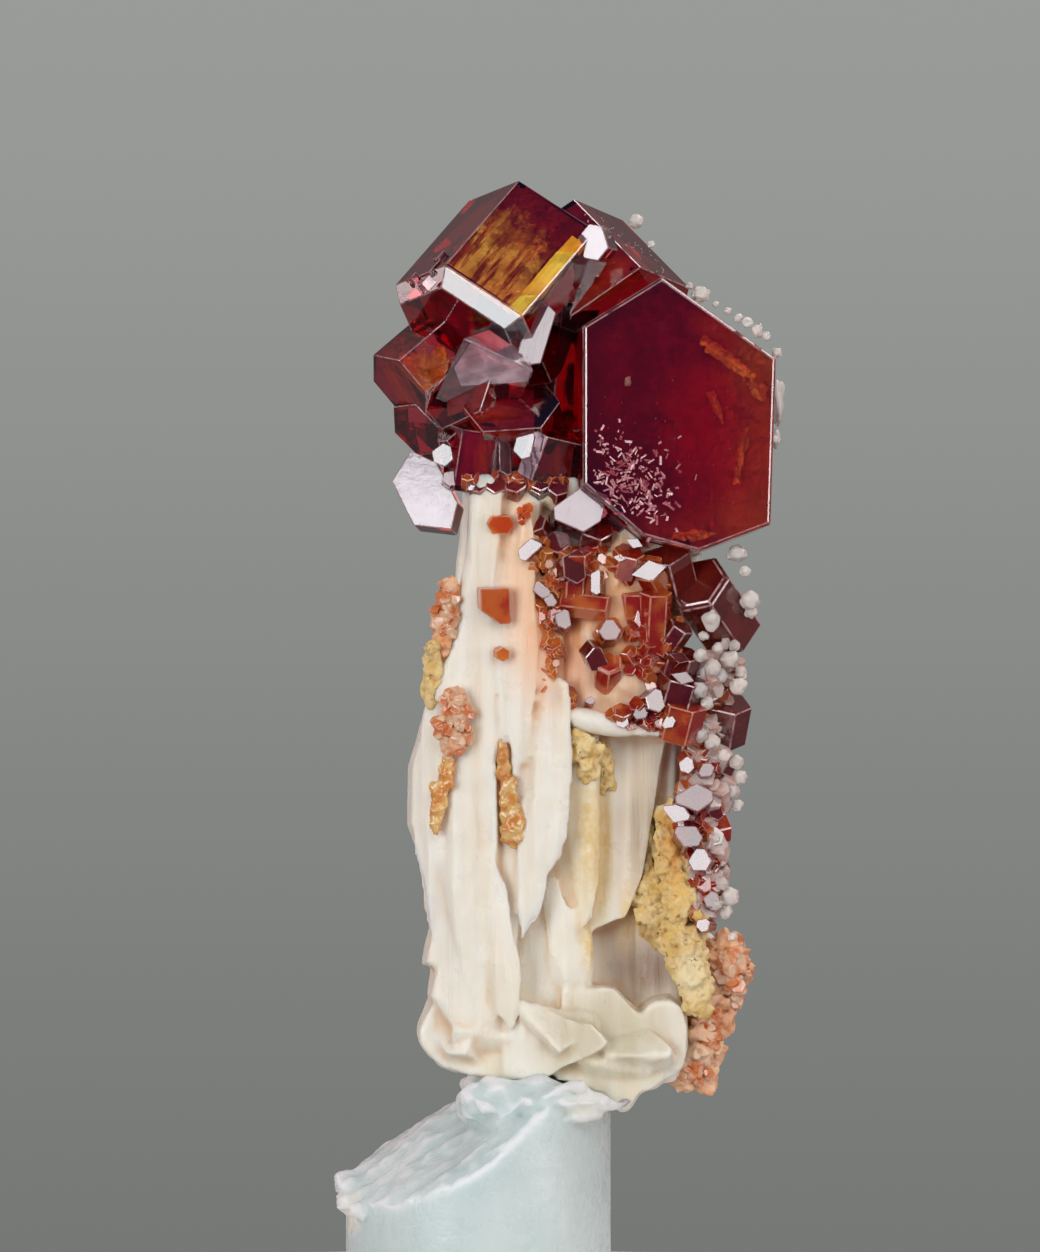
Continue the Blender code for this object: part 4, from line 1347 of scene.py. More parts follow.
@dataclass(frozen=True)
class Patch:
    """Where tiny crystals grow: an oval on the front, bulging towards the camera."""

    centre: Point
    half: tuple[float, float]
    count: int
    size: tuple[float, float]
    seed: int
    bulge: float = 0.25
    fan: float = 0.7
    long: float = 1.1

    def crystals(self) -> Iterator[Crystal]:
        """Spread the crystals over the oval.

        Yields:
            Each crystal.
        """
        pick = random.Random(self.seed)
        for index in range(self.count):
            around = index * GOLDEN_TURN + pick.uniform(-0.4, 0.4)
            out = math.sqrt((index + 0.5) / self.count)
            side, rise = math.cos(around) * out, math.sin(around) * out
            flat = pick.uniform(*self.size)
            yield Crystal(
                (self.centre[0] + side * self.half[0], self.centre[1] + self.bulge * out * out,
                 self.centre[2] + rise * self.half[1]),
                (side * self.fan + pick.uniform(-0.8, 0.8), -1.0, rise * self.fan + pick.uniform(-0.7, 0.9)),
                (math.cos(index), 0.0, math.sin(index)),
                tuple(flat * pick.uniform(0.75, 1.15) for _ in SIXTHS), flat * 2.0 * self.long)


@dataclass
class SmallCrystals:
    """The crystals on the slope, the flank and the faces of the barite."""

    # The edge colours below are painted highlights along the crystals' bevelled edges.
    finish: CrystalFinish = CrystalFinish("small_red_vanadinite", clear=(0.94, 0.50, 0.20), density=1100.0, ior=2.1,
                                          tint=(1.0, 0.25, 0.04), other=(0.62, 0.03, 0.015), body=0.40, rough=0.02,
                                          shine=0.3, edge=(0.98, 0.42, 0.27), edge_highlight_clear=0.75)
    dark: CrystalFinish = CrystalFinish("dark_red_vanadinite", clear=(0.80, 0.36, 0.30), density=2300.0,
                                        tint=(0.50, 0.05, 0.03), other=(0.30, 0.02, 0.02), body=0.20)
    amber: CrystalFinish = CrystalFinish("amber_vanadinite", clear=(0.96, 0.66, 0.20), density=1000.0, ior=1.8,
                                         tint=(1.0, 0.32, 0.05), other=(0.90, 0.12, 0.02), body=0.42, rough=0.03,
                                           shine=0.3, edge=(1.0, 0.62, 0.36), edge_highlight_clear=0.6)
    edge: float = 0.05
    slope: tuple[Crystal, ...] = (
        Crystal((4.05, -3.9, 31.2), (0.05, -0.35, 0.94), (0.1, -1, 0), 0.62, 1.9),
        Crystal((2.45, -3.6, 31.5), (-0.62, -0.40, 0.68), (0.5, -0.7, 0.3), (0.42, 0.5, 0.5, 0.42, 0.5, 0.5), 1.2),
        Crystal((4.85, -3.7, 30.3), (0.1, -0.3, 0.95), (-0.4, -0.9, 0.1), 0.42, 1.1),
        Crystal((5.45, -3.7, 28.8), (0.96, -0.20, -0.12), (0, -0.9, 0.3), 0.52, 2.0),
        Crystal((3.2, -3.6, 30.0), (-0.2, -0.8, 0.4), (1, 0, 0), 0.45, 1.2),
        Crystal((3.4, -3.8, 28.5), (0.15, -0.9, 0.25), (1, 0, 0), 0.42, 1.2),
        Crystal((3.1, -3.6, 27.4), (-0.2, -0.7, 0.6), (1, 0, 0), 0.36, 1.1),
        Crystal((2.95, -3.5, 26.4), (0.3, -0.7, 0.5), (1, 0, 0), 0.36, 1.1),
        Crystal((3.2, -3.5, 25.4), (-0.6, -0.6, 0.2), (0, 0, 1), 0.36, 1.3),
        Crystal((5.5, -3.9, 27.95), (0.25, -0.90, 0.35), (0.75, 0, 0.5), 0.55, 1.4),
        Crystal((5.45, -4.1, 26.6), (0.05, -0.80, 0.60), (1, 0, 0), 0.55, 2.2, 0.08),
        Crystal((6.3, -3.6, 31.2), (0.20, -0.50, 0.84), (0.1, -1, 0.3), 0.60, 1.1),
        Crystal((7.1, -3.8, 30.5), (-0.30, -0.80, 0.52), (1, 0, 0.2), 0.62, 1.3),
        Crystal((5.7, -3.5, 30.9), (-0.40, -0.60, 0.70), (1, 0, 0.2), 0.48, 1.4),
        Crystal((7.4, -3.7, 29.5), (0.05, -0.30, 0.95), (0.2, -1, 0), 0.62, 2.8),
        Crystal((6.55, -3.3, 29.5), (-0.05, -0.25, 0.96), (-0.2, -1, 0), 0.60, 1.8),
        Crystal((8.60, -3.6, 24.9), (0.22, -0.35, 0.91), (0.0, -1, 0.3), 0.86, 1.6),
        Crystal((8.50, -3.5, 28.0), (0.50, -0.40, 0.75), (0, -1, 0), 0.45, 1.2),
        Crystal((7.2, -3.5, 25.2), (-0.3, -0.6, 0.7), (0.1, -1, 0.3), 0.62, 1.4),
        Crystal((7.9, -3.4, 26.9), (-0.3, -0.5, 0.8), (0.1, -1, 0.3), 0.60, 2.0),
        Crystal((4.9, -3.75, 29.2), (-0.3, -0.9, 0.3), (1, 0, 0.4), 0.30, 0.9),
        Crystal((4.2, -3.7, 30.0), (0.3, -0.8, 0.4), (1, 0, 0), 0.34, 0.9),
        Crystal((3.75, -3.75, 29.4), (-0.5, -0.8, 0.2), (0.5, 0, 1), 0.30, 0.9),
        Crystal((6.35, -3.6, 27.9), (0.4, -0.8, 0.3), (1, 0, 0.3), 0.26, 0.8),
        Crystal((6.3, -3.7, 26.3), (-0.1, -0.9, 0.4), (0, 0, 1), 0.24, 0.8),
        Crystal((6.0, -3.9, 24.6), (0.1, -0.7, 0.7), (1, 0, 0.2), 0.40, 1.0),
        Crystal((6.6, -3.9, 24.9), (-0.4, -0.7, 0.5), (0, 0, 1), 0.36, 1.0),
        Crystal((5.5, -3.9, 24.5), (-0.5, -0.6, 0.6), (1, 0, 0), 0.26, 0.8),
        Crystal((7.7, -3.6, 24.2), (0.1, -0.9, 0.3), (0.3, 0, 1), 0.40, 1.0),
    )
    brown: tuple[Crystal, ...] = (
        Crystal((7.8, -3.35, 31.2), (-0.20, -0.62, 0.75), (1, 0, 0.15), (1.0, 0.85, 0.9, 1.0, 0.85, 0.9), 2.6),
        Crystal((4.9, -3.55, 32.2), (0.10, -0.75, 0.65), (1, 0, 0.2), (0.7, 0.6, 0.7, 0.65, 0.6, 0.7), 2.0),
        Crystal((2.35, -3.55, 32.4), (-0.30, -0.80, 0.50), (1, 0, -0.3), 0.45, 1.6),
        Crystal((3.3, -3.65, 31.6), (-0.10, -0.85, 0.50), (1, 0, 0.2), 0.50, 1.6),
        Crystal((8.45, -3.4, 27.0), (0.25, -0.35, 0.90), (0.1, -1, 0.3), 0.80, 1.2),
        Crystal((8.55, -3.6, 26.0), (0.25, -0.35, 0.90), (0.1, -1, 0.3), 0.90, 1.2),
        Crystal((10.4, -1.6, 24.9), (0.15, -0.45, 0.88), (-0.1, -1, 0), 0.95, 1.8),
        Crystal((10.3, -1.6, 22.4), (0.65, -0.60, 0.40), (0, 0.5, 1), 0.62, 1.6),
        Crystal((8.50, -3.55, 28.1), (0.50, -0.40, 0.75), (0, -1, 0), 0.50, 1.2),
        Crystal((0.00, -3.70, 34.05), (-0.10, -0.80, 0.55), (1, 0, 0.2), 0.45, 1.2),
        Crystal((0.75, -3.80, 34.00), (0.15, -0.80, 0.50), (1, 0, -0.1), 0.42, 1.2),
        Crystal((1.55, -3.75, 34.05), (-0.05, -0.80, 0.55), (1, 0, 0.2), 0.45, 1.2),
        Crystal((2.60, -3.70, 34.10), (0.10, -0.80, 0.55), (1, 0, 0.1), 0.42, 1.2),
        Crystal((3.35, -3.80, 33.90), (0.05, -0.80, 0.50), (1, 0, -0.2), 0.42, 1.1),
    )
    flank: tuple[Crystal, ...] = (
        Crystal((9.25, -2.2, 22.9), (0.10, -0.55, 0.80), (0, -1, 0.2), 0.62, 1.6),
        Crystal((9.0, -2.5, 20.9), (0.10, -0.95, 0.25), (0, 0, 1), 0.62, 1.8),
        Crystal((8.5, -2.4, 21.3), (-0.60, -0.75, 0.25), (0, 0, 1), 0.40, 1.4),
        Crystal((8.9, -2.4, 19.7), (0.45, -0.85, 0.15), (0.5, 0, 1), 0.58, 1.6),
        Crystal((9.35, -2.3, 18.5), (0.20, -0.90, 0.30), (1, 0, 0.3), 0.45, 1.4),
        Crystal((10.2, -1.9, 20.9), (0.75, -0.60, 0.25), (0, 0, 1), 0.62, 1.6),
        Crystal((10.3, -1.6, 22.6), (0.80, -0.55, 0.20), (0, 0.5, 1), 0.50, 1.6),
        Crystal((9.9, -1.9, 17.2), (0.50, -0.80, 0.30), (1, 0, 1), 0.52, 1.4),
        Crystal((9.4, -2.2, 16.9), (-0.20, -0.90, 0.40), (1, 0, 0), 0.40, 1.3),
        Crystal((10.4, -0.6, 18.0), (0.90, -0.30, 0.20), (0, 0, 1), 0.50, 1.4),
        Crystal((10.6, 0.2, 24.0), (0.90, 0.20, 0.30), (0, 0, 1), 0.62, 1.8),
        Crystal((10.5, 0.4, 21.6), (0.92, 0.10, -0.25), (0, 0, 1), 0.55, 1.6),
        Crystal((10.4, 1.4, 19.6), (0.85, 0.40, 0.20), (0, 0, 1), 0.60, 1.6),
        Crystal((10.2, 1.3, 17.3), (0.88, 0.35, -0.15), (0, 0, 1), 0.45, 1.3),
        Crystal((10.3, 1.6, 22.7), (0.80, 0.50, 0.25), (0, 0, 1), 0.50, 1.5),
    )
    slope_facets: tuple[tuple[float, float, float, float, float, float, Point], ...] = (
        (634, 543, -4.00, 0.50, 0.22, -20, TO_KEY), (619, 558, -4.05, 0.55, 0.16, -8, TO_KEY),
        (648, 571, -4.10, 0.75, 0.42, 12, TO_KEY), (595, 582, -4.20, 0.20, 0.50, 0, TO_KEY),
        (609, 630, -4.35, 0.42, 0.46, 35, TO_FRONT_HIGH), (563, 619, -4.15, 0.30, 0.42, 10, TO_FRONT_HIGH),
        (574, 566, -4.45, 0.48, 0.70, 5, (0.30, -0.94, 0.12)), (529, 549, -4.3, 0.30, 0.55, -48, TO_KEY),
        (550, 600, -3.95, 0.22, 0.30, 30, TO_FRONT_HIGH), (541, 590, -3.9, 0.25, 0.40, 50, TO_FRONT_HIGH),
        (596, 660, -4.4, 0.40, 0.55, 25, (0.25, -0.90, -0.30)), (655, 700, -4.2, 0.40, 0.50, 15, (0.4, -0.9, 0.1)),
        (682, 677, -4.5, 0.75, 0.28, -15, TO_FRONT_HIGH), (679, 657, -4.4, 0.65, 0.25, -12, (0.30, -0.90, 0.32)),
        (640, 712, -4.1, 0.32, 0.30, 40, TO_FRONT_HIGH), (622, 722, -4.0, 0.26, 0.24, 10, TO_KEY),
        (668, 722, -4.2, 0.30, 0.26, 35, TO_KEY), (590, 700, -3.9, 0.20, 0.18, 5, TO_FRONT_HIGH),
    )
    flank_facets: tuple[tuple[float, float, float, float, float, float, Point], ...] = (
        (694, 797, -3.6, 0.80, 0.60, 8, TO_FRONT_HIGH), (676, 812, -3.5, 0.62, 0.42, -20, TO_KEY),
        (699, 860, -3.3, 0.46, 0.50, 30, TO_KEY), (688, 835, -3.5, 0.60, 0.50, -25, TO_FRONT_HIGH),
        (716, 812, -2.8, 0.30, 0.35, 15, (0.25, -0.9, 0.3)), (706, 770, -3.1, 0.35, 0.30, 40, TO_FRONT_HIGH),
        (686, 765, -3.2, 0.30, 0.35, 10, TO_KEY), (712, 900, -2.7, 0.32, 0.36, 20, TO_FRONT_HIGH),
        (703, 925, -2.6, 0.28, 0.30, -15, TO_KEY), (720, 860, -2.5, 0.28, 0.32, 45, TO_FRONT_HIGH),
    )
    singles: dict[str, Crystal] = field(default_factory=lambda: {
        "flank_crystal_upper": Crystal((9.1, -2.9, 29.9), (-0.40, -0.72, 0.56), (0.8, 0, 0.5), 1.25, 3.6, 0.15),
        "face_crystal_red": Crystal((0.75, -4.4, 28.9), (0.16, -0.97, -0.10), (1, 0, 0.05),
                                    (0.60, 0.74, 0.62, 0.50, 0.78), 1.5, 0.0, (0, 88, 180, 232, 272)),
        "face_crystal_amber": Crystal((0.95, -4.0, 32.3), (0.20, -0.95, -0.15), (0, 0, 1), (0.36, 0.5, 0.5, 0.4, 0.5, 0.5), 1.4),
        "face_crystal_speck": Crystal((1.05, -4.2, 26.9), (0.24, -0.95, -0.12), (1, 0, 0), 0.27, 0.9),
        "back_crystal_upper": Crystal((5.2, 5.2, 29.4), (0.20, 0.90, 0.35), (1, 0, 0), 1.20, 2.6, 0.15),
        "back_crystal_middle": Crystal((2.1, 5.1, 26.2), (-0.35, 0.90, 0.10), (1, 0, 0), 0.80, 2.0),
        "back_crystal_low": Crystal((6.3, 4.9, 19.6), (0.30, 0.90, 0.20), (1, 0, 0), 0.70, 2.0),
    })
    slope_patches: tuple[Patch, ...] = (
        Patch((4.6, -3.65, 30.6), (1.3, 0.9), 12, (0.16, 0.30), 12, 0.1),
        Patch((6.9, -3.75, 24.2), (1.7, 0.5), 22, (0.12, 0.26), 13, 0.1),
        Patch((7.6, -3.4, 28.0), (1.0, 2.2), 12, (0.16, 0.30), 14, 0.1),
        Patch((1.5, -3.65, 34.1), (2.3, 0.40), 24, (0.14, 0.30), 19, 0.0),
        Patch((7.0, -3.70, 27.3), (1.1, 1.8), 16, (0.18, 0.36), 20, 0.1),
    )
    amber_patches: tuple[Patch, ...] = (
        Patch((3.0, -3.72, 27.8), (0.55, 3.2), 46, (0.10, 0.26), 11, 0.1),
        Patch((3.6, -3.80, 24.9), (0.6, 0.4), 12, (0.12, 0.22), 15, 0.1),
        Patch((1.9, -4.05, 32.7), (0.4, 0.4), 4, (0.12, 0.22), 16, 0.2),
        Patch((2.6, -3.9, 31.0), (0.5, 0.8), 8, (0.14, 0.26), 17, 0.1),
    )
    flank_patches: tuple[Patch, ...] = (
        Patch((9.3, -2.80, 20.2), (0.85, 4.8), 60, (0.16, 0.40), 21, 0.6),
        Patch((9.9, -2.25, 25.6), (0.8, 1.2), 18, (0.14, 0.34), 22, 0.4),
    )

    def build(self) -> None:
        """Make the small crystals."""
        material = self.finish.material()
        dark = self.dark.material()
        amber = self.amber.material()
        groups = {
            "slope_crystals": self.slope + tuple(item for patch in self.slope_patches for item in patch.crystals()),
            "flank_druse": self.flank + tuple(item for patch in self.flank_patches for item in patch.crystals()),
            "amber_grains": tuple(item for patch in self.amber_patches for item in patch.crystals()),
            "flank_crystals_dark": self.brown,
            "lilac_facets": tuple(mirrors(self.slope_facets)) + tuple(mirrors(self.flank_facets)),
        }
        groups.update({name: (crystal,) for name, crystal in self.singles.items()})
        for name, crystals in groups.items():
            members = [crystal.shape(min(self.edge, 0.11 * crystal.least())) for crystal in crystals]
            piece = loose(name + "_cut", members)
            worn = dark if name.startswith(("flank_crystal", "back", "lilac")) else material
            worn = amber if name.startswith(("amber", "face_crystal_a", "face_crystal_s")) else worn
            own = name in ("amber_grains", "flank_crystals_dark", "lilac_facets")
            dress(piece, worn, Slot.VANADINITE, *(() if own else (name,)))


@dataclass
class Beads:
    """Clear and whitish beads, grains and rounded crystals that sit on the red ones."""

    finish: DruseFinish = DruseFinish("clear_beads", (1.0, 0.96, 0.88), (1.0, 0.91, 0.82), 0.50, 0.04, 1.45)
    pale: DruseFinish = DruseFinish("pale_crystals", (1.0, 0.88, 0.80), (0.95, 0.60, 0.50), 0.45, 0.05, 1.6)
    pale_patches: tuple[Patch, ...] = (
        Patch((9.5, -2.75, 20.2), (1.00, 5.0), 56, (0.18, 0.52), 41, 0.9),
        Patch((10.3, -2.3, 26.2), (0.8, 1.6), 24, (0.14, 0.30), 42, 0.5),
        Patch((9.2, -2.9, 23.8), (0.9, 0.5), 14, (0.12, 0.28), 43, 0.2),
        Patch((9.6, -3.4, 26.0), (0.55, 1.1), 14, (0.16, 0.34), 44, 0.4),
    )
    placed: tuple[tuple[float, float, float, float], ...] = (     # column, row, radius in pixels, and Y
        (637, 218, 8, 0.2), (652, 241, 4, 0.0), (701, 294, 8, -2.8), (716, 304, 3, -2.9), (728, 311, 4, -3.0),
        (738, 318, 5, -3.1), (747, 323, 6, -3.3), (757, 331, 6, -3.2), (766, 336, 5, -3.4), (777, 352, 5, -2.6),
        (760, 327, 4, -1.6), (690, 285, 4, -2.0), (737, 553, 9, -3.0), (745, 571, 5, -2.8), (750, 600, 9, -2.6),
        (752, 612, 6, -2.2), (711, 621, 10, -4.3), (703, 636, 5, -4.0),
        (700, 655, 7, -3.9), (712, 668, 8, -3.4), (698, 690, 9, -3.9), (707, 703, 7, -3.5), (718, 648, 6, -3.2),
        (729, 660, 10, -2.7), (741, 672, 6, -2.2),
        (738, 686, 8, -2.6), (721, 676, 7, -3.0), (735, 646, 6, -2.2), (700, 735, 8, -3.2), (712, 742, 8, -3.0),
        (724, 755, 7, -2.8), (737, 762, 7, -2.2), (741, 778, 7, -1.9), (733, 792, 8, -2.2), (738, 806, 6, -1.8),
        (722, 884, 8, -2.3), (730, 897, 9, -2.0), (727, 913, 7, -2.1), (716, 905, 6, -2.6), (712, 839, 7, -2.6),
        (733, 938, 5, -1.6),
    )
    scattered: int = 28
    specks: int = 40

    def shapes(self) -> Iterator[BMesh]:
        """Make the beads in their places, and finer ones down the right flank.

        Yields:
            Each bead, in millimetres.
        """
        pick = random.Random(8)
        for column, row, radius, y in self.placed:
            x, z = in_photo(column, row)
            size = radius / PIXELS_PER_MM
            yield ball((x, y, z), [size * pick.uniform(0.85, 1.1) for _ in range(3)], 3, column, 0.35)
        for index in range(self.scattered):
            z = pick.uniform(15.8, 27.0)
            turn = math.radians(pick.uniform(-85, 60))
            size = pick.uniform(0.10, 0.26)
            place = (9.2 + 1.05 * math.cos(turn), 0.2 + 2.35 * math.sin(turn), z)
            yield ball(place, (size, size, size * pick.uniform(0.8, 1.2)), 2, index, 0.5)
        yield ball((12.5, -1.9, 37.5), (0.30, 0.7, 0.98), 3, 4, 0.4)
        yield ball((12.4, -2.2, 35.9), (0.26, 0.5, 0.38), 3, 7, 0.4)
        point, outward = list(Crown.crystals[2].planes())[2]
        for index in range(self.specks):
            along = pick.uniform(0.0, 1.0)
            place = seen_on(585 + 80 * along + pick.uniform(-6, 12), 212 + 52 * along + pick.uniform(-8, 6),
                            point, outward)
            yield ball(place, (0.03, 0.03, 0.03), 1)

    def build(self) -> None:
        """Make the beads and the pale crystals."""
        piece = loose("clear_beads", self.shapes())
        piece.data.shade_smooth()
        dress(piece, self.finish.material(), Slot.VANADINITE)
        piece = loose("pale_crystals", (item.shape(0.02) for patch in self.pale_patches for item in patch.crystals()))
        dress(piece, self.pale.material(), Slot.VANADINITE)


@dataclass(frozen=True)
class Plate:
    """A barite plate: its outline in X and Z, its front's Y at the left and right edge, and its back's Y."""

    outline: tuple[tuple[float, float], ...]
    front: tuple[float, float]
    back: float
    edge: float = 0.3

    def shape(self) -> BMesh:
        """Extrude the outline and soften the rims.

        Returns:
            The plate, in millimetres.
        """
        left = min(x for x, _ in self.outline)
        right = max(x for x, _ in self.outline)
        bm = bmesh.new()
        verts = []
        for x, z in self.outline:
            share = (x - left) / (right - left)
            verts.append(bm.verts.new((x, (1 - share) * self.front[0] + share * self.front[1], z)))
        face = bm.faces.new(verts)
        swept = bmesh.ops.extrude_face_region(bm, geom=[face])
        for part in swept["geom"]:
            if isinstance(part, bmesh.types.BMVert):
                part.co.y = self.back
        bmesh.ops.recalc_face_normals(bm, faces=bm.faces[:])
        rims = [edge for edge in bm.edges
                if len({round(vert.co.y == self.back) for vert in edge.verts}) == 1]
        bmesh.ops.bevel(bm, geom=rims, offset=self.edge, offset_type="OFFSET", segments=2, profile=0.5,
                        affect="EDGES", material=-1, clamp_overlap=True)
        return bm


@dataclass
class Barite:
    """The tall intergrown plates, the foot that they spread from and the slope that the crystals grow on."""

    finish: BariteFinish = BariteFinish()
    voxel: float = 0.09
    flute: float = 0.13
    most: int = 195000
    leaves: tuple[tuple[float, float, float, float, float, float, float], ...] = (
        (-0.2, -3.40, 27.0, 1.00, 5.0, 0.06, -12.0), (-1.6, -3.20, 20.5, 1.10, 5.0, 0.03, -12.0),
        (-0.4, -3.60, 17.0, 1.00, 5.0, -0.08, -10.0), (1.0, -3.80, 14.6, 0.70, 3.4, -0.10, -10.0),
        (1.8, -3.70, 27.5, 0.80, 5.6, 0.03, -10.0), (3.0, -3.80, 21.6, 0.90, 4.2, 0.04, -12.0),
        (2.3, -3.75, 18.6, 0.80, 3.4, 0.12, -10.0), (4.4, -3.00, 19.6, 0.70, 4.2, -0.02, -12.0),
        (3.5, -2.95, 15.0, 0.70, 2.8, -0.18, -10.0),
        (1.9, 4.55, 27.0, 0.70, 4.4, 0.03, 14.0), (0.4, 4.50, 20.0, 0.75, 4.2, -0.05, 12.0),
        (2.2, 4.60, 17.5, 0.60, 3.6, 0.04, 16.0), (5.6, 4.40, 27.5, 0.70, 3.8, -0.04, 14.0),
        (6.6, 4.35, 20.0, 0.65, 4.0, 0.05, 12.0), (4.8, 4.50, 18.0, 0.55, 3.6, -0.02, 16.0),
    )
    plates: tuple[Plate, ...] = (
        Plate(((0.4, 36.2), (-1.0, 28.0), (-2.3, 22.0), (-1.5, 16.5), (-1.6, 10.2), (8.5, 10.2), (8.5, 15.0),
               (8.5, 26.6), (9.4, 30.0), (9.4, 36.2)), (-0.6, -0.6), 3.9),
        Plate(((-0.3, 33.9), (-0.5, 30.8), (-0.9, 29.3), (-1.0, 27.8), (-2.2, 24.5), (-2.9, 22.2), (-2.9, 19.8),
               (-2.4, 18.4), (-1.7, 16.8), (-2.2, 14.9), (-2.4, 13.9), (-1.9, 13.8), (-2.1, 12.6), (-1.2, 11.2),
               (0.2, 11.0), (0.6, 15.3), (0.9, 19.1), (0.8, 22.5), (0.7, 27.2), (1.1, 33.9)), (-3.0, -4.1), 0.5),
        Plate(((0.4, 33.9), (0.4, 11.0), (1.6, 11.0), (1.58, 14.6), (1.7, 15.9), (2.2, 16.8), (2.7, 17.6),
               (3.4, 19.3), (3.66, 21.3), (3.78, 22.5), (3.72, 23.7), (3.3, 24.9), (2.9, 27.0), (2.6, 30.0),
               (2.7, 33.9)), (-3.3, -3.9), 0.5),
        Plate(((2.0, 33.9), (1.2, 11.0), (3.2, 11.4), (3.44, 12.6), (4.17, 13.7), (4.23, 14.8), (4.76, 16.0),
               (5.13, 17.2), (5.19, 18.7), (5.13, 21.9), (5.0, 23.8), (5.0, 33.6)), (-2.2, -3.2), 0.5),
        Plate(((4.6, 33.8), (4.6, 24.2), (6.3, 23.4), (8.0, 23.5), (8.4, 24.2), (8.4, 27.4), (7.9, 28.8),
               (8.4, 33.8)), (-3.1, -3.2), 1.5),
        Plate(((3.3, 24.7), (3.9, 24.0), (5.7, 23.5), (8.5, 23.2), (8.6, 23.7), (5.7, 24.3)), (-3.9, -3.7), 0.5),
        Plate(((4.4, 25.0), (4.4, 15.2), (6.2, 15.8), (6.9, 17.6), (7.6, 21.0), (8.2, 25.0)), (-2.5, -2.0), 1.6, 0.12),
        Plate(((4.4, 25.0), (4.4, 12.0), (6.6, 12.0), (6.8, 16.0), (6.6, 25.0)), (-1.2, -0.8), 3.6),
        Plate(((6.2, 25.0), (6.6, 12.0), (8.3, 12.0), (8.3, 16.0), (8.3, 25.0)), (-0.8, -1.2), 3.6),
        Plate(((-0.6, 34.0), (-1.6, 24.0), (-1.2, 14.0), (2.4, 12.5), (3.2, 22.0), (2.9, 34.0)), (2.5, 2.5), 4.7),
        Plate(((7.8, 26.0), (7.8, 16.4), (9.3, 17.0), (9.6, 21.0), (9.4, 25.5)), (2.6, 2.6), 4.2),
        Plate(((4.2, 33.0), (3.6, 24.0), (4.4, 13.0), (7.6, 13.5), (8.3, 24.0), (7.6, 33.0)), (2.6, 2.6), 4.5),
        Plate(((-2.6, 11.2), (-2.5, 10.6), (-1.6, 9.6), (-0.3, 9.2), (1.2, 9.1), (2.6, 9.1), (2.6, 11.4),
               (1.0, 13.0), (-1.8, 12.9)), (-2.8, -3.4), 1.8, 0.25),
        Plate(((1.0, 12.3), (3.2, 12.1), (4.78, 11.6), (5.33, 11.04), (5.52, 10.74), (5.15, 10.43), (4.05, 9.8),
               (2.4, 9.1), (1.0, 9.3)), (-3.4, -4.1), 0.8, 0.10),
        Plate(((3.4, 13.0), (5.76, 13.1), (6.74, 11.96), (7.23, 12.4), (7.96, 12.57), (8.57, 12.2), (8.76, 11.3),
               (8.69, 10.2), (8.51, 9.58), (7.47, 8.85), (6.8, 8.6), (6.5, 8.1), (6.13, 7.74), (5.76, 7.8),
               (5.2, 8.6), (3.2, 9.1)), (-3.2, -2.8), 2.4, 0.15),
        Plate(((-1.2, 12.6), (-0.8, 9.5), (2.0, 9.1), (6.4, 9.1), (7.6, 12.6)), (0.6, 0.6), 4.2),
        Plate(((7.2, 15.5), (7.6, 9.4), (8.6, 9.2), (9.5, 10.2), (10.2, 12.6), (10.4, 14.4), (9.6, 15.4)),
              (-0.1, -0.1), 2.6),
    )

    lumps: tuple[tuple[Point, Point], ...] = (
        ((0.95, -3.50, 27.2), (0.42, 0.38, 4.2)),
        ((0.55, -3.10, 12.0), (0.55, 0.65, 1.5)),
        ((4.30, -2.50, 14.2), (0.60, 0.60, 1.8)),
        ((3.1, -3.15, 29.0), (0.50, 0.50, 1.7)),
        ((3.05, -3.15, 26.6), (0.50, 0.50, 2.2)),
        ((5.2, -3.2, 30.3), (1.2, 0.5, 1.1)),
        ((6.0, -3.1, 28.2), (1.9, 0.5, 1.6)),
        ((6.8, -3.1, 26.0), (1.6, 0.5, 1.6)),
        ((7.9, -3.1, 24.3), (0.8, 0.4, 1.0)),
        ((3.2, -0.2, 34.6), (3.2, 2.4, 2.2)),
        ((0.5, -3.0, 33.9), (1.0, 0.9, 0.8)),
        ((1.8, -3.0, 33.9), (1.0, 0.8, 0.8)),
        ((3.6, -2.8, 33.6), (1.2, 0.9, 0.9)),
    )
    blocks: tuple[Crystal, ...] = (
        Crystal((-1.2, -3.05, 11.5), (-0.45, -0.85, 0.35), (0.5, 0, 1), (1.0, 1.3, 0.9, 1.4, 1.2), 2.4, 0, SKEWED),
        Crystal((0.2, -3.25, 10.4), (0.05, -0.80, -0.60), (1, 0, 0.2), (1.5, 0.9, 1.6, 0.9, 1.0), 2.0, 0, SKEWED),
        Crystal((3.4, -3.85, 11.4), (0.20, -0.88, 0.42), (1, 0, 0.35), (1.9, 1.0, 2.0, 0.8, 1.0), 1.8, 0, SKEWED),
        Crystal((6.3, -3.20, 10.9), (-0.10, -0.80, 0.60), (1, 0, -0.5), (2.0, 1.0, 1.9, 1.1, 0.9), 2.2, 0, SKEWED),
        Crystal((7.9, -2.60, 10.6), (0.50, -0.80, 0.10), (0.3, 0, 1), (1.4, 0.9, 1.5, 1.0, 0.9), 2.2, 0, SKEWED),
        Crystal((5.4, -3.00, 9.2), (0.05, -0.75, -0.65), (1, 0, 0.15), (1.9, 0.8, 1.8, 0.8, 0.9), 2.0, 0, SKEWED),
    )

